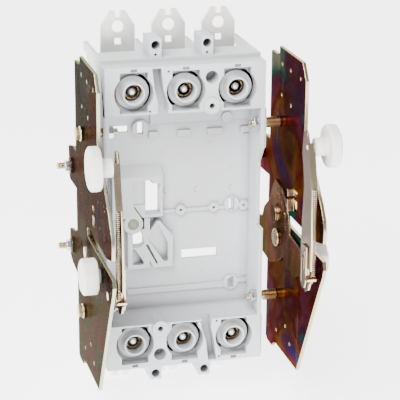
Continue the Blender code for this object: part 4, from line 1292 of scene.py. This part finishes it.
class BREAKER_OT_stage(bpy.types.Operator):
    """Sets the pale floor, the soft lights, the white surround and the camera"""

    bl_idname = "breaker.stage"
    bl_label = "Stage"

    def execute(self, context):
        settings = context.scene.plug_in_stage
        self.floor(settings)
        self.lights(settings)
        self.camera(context.scene, settings)
        return {"FINISHED"}

    @staticmethod
    def floor(settings):
        """A floor that curves up into a backdrop behind the object."""
        low = CAD_BOX[0].z - 2 * MM
        edge = [(FLOOR_NEAR, low), (FLOOR_FAR, low)]
        for step in range(1, 10):
            turn = math.radians(10 * step)
            edge.append((FLOOR_FAR + BEND_R * math.sin(turn), low + BEND_R * (1 - math.cos(turn))))
        edge.append((FLOOR_FAR + BEND_R, low + BACKDROP_TALL))
        bm = bmesh.new()
        ends = (-FLOOR_HALF_WIDTH, FLOOR_HALF_WIDTH)
        rows = [[bm.verts.new((x, y, z)) for x in ends] for y, z in edge]
        for first, second in zip(rows, rows[1:]):
            bm.faces.new((first[0], first[1], second[1], second[0]))
        mesh = bpy.data.meshes.new("studio_floor")
        bm.to_mesh(mesh)
        bm.free()
        floor = new_object("studio_floor", mesh)
        mesh.materials.append(pale_floor("pale floor", settings.glow))
        mesh.shade_smooth()

    @staticmethod
    def lights(settings):
        world = bpy.data.worlds.new("white surround")
        bpy.context.scene.world = world
        world.use_nodes = True
        sky = world.node_tree.nodes["Background"]
        sky.inputs["Color"].default_value = (1.0, 1.0, 1.0, 1)
        sky.inputs["Strength"].default_value = settings.sky
        aim = (0, depth(0), 0)
        softbox("key softbox", KEY_PLACE, aim, 1.5, settings.key)
        softbox("fill softbox", FILL_PLACE, aim, 1.2, settings.fill)

    @staticmethod
    def camera(scene, settings):
        azimuth, elevation, roll = settings.azimuth, settings.elevation, settings.roll
        back = Vector(
            (
                math.sin(azimuth) * math.cos(elevation),
                -math.cos(azimuth) * math.cos(elevation),
                math.sin(elevation),
            )
        )
        level = Vector((math.cos(azimuth), math.sin(azimuth), 0))
        upright = back.cross(level)
        right = math.cos(roll) * level + math.sin(roll) * upright
        up = math.cos(roll) * upright - math.sin(roll) * level
        pose = Matrix((right, up, back)).transposed().to_4x4()
        pose.translation = Vector(settings.target) + back * settings.distance
        lens = bpy.data.cameras.new("camera")
        lens.sensor_width = 36
        lens.lens = settings.lens
        lens.clip_start = 0.05
        lens.clip_end = 50
        camera = bpy.data.objects.new("camera", lens)
        scene.collection.objects.link(camera)
        camera.matrix_world = pose
        scene.camera = camera


# --- Panel and registration ---

OPERATORS = (
    BREAKER_OT_moulding,
    BREAKER_OT_guide,
    BREAKER_OT_sockets,
    BREAKER_OT_terminals,
    BREAKER_OT_plates,
    BREAKER_OT_levers,
    BREAKER_OT_knobs,
    BREAKER_OT_fasteners,
    BREAKER_OT_stage,
)


class BREAKER_PT_sidebar(bpy.types.Panel):
    """The settings and the operators, in the 3D view's sidebar"""

    bl_idname = "BREAKER_PT_sidebar"
    bl_label = "Plug-in Base"
    bl_space_type = "VIEW_3D"
    bl_region_type = "UI"
    bl_category = "Plug-in Base"

    def draw(self, context):
        for attribute, group in GROUPS:
            box = self.layout.box()
            box.label(text=group.__doc__)
            settings = getattr(context.scene, attribute)
            for name in group.__annotations__:
                box.prop(settings, name)
        for operator in OPERATORS:
            self.layout.operator(operator.bl_idname)


def register():
    for attribute, group in GROUPS:
        bpy.utils.register_class(group)
        setattr(bpy.types.Scene, attribute, bpy.props.PointerProperty(type=group))
    for made in (*OPERATORS, BREAKER_PT_sidebar):
        bpy.utils.register_class(made)


def unregister():
    for made in reversed((*OPERATORS, BREAKER_PT_sidebar)):
        bpy.utils.unregister_class(made)
    for attribute, group in reversed(GROUPS):
        delattr(bpy.types.Scene, attribute)
        bpy.utils.unregister_class(group)


def main():
    register()
    for operator in OPERATORS:
        area, name = operator.bl_idname.split(".")
        getattr(getattr(bpy.ops, area), name)()


if __name__ == "__main__":
    main()
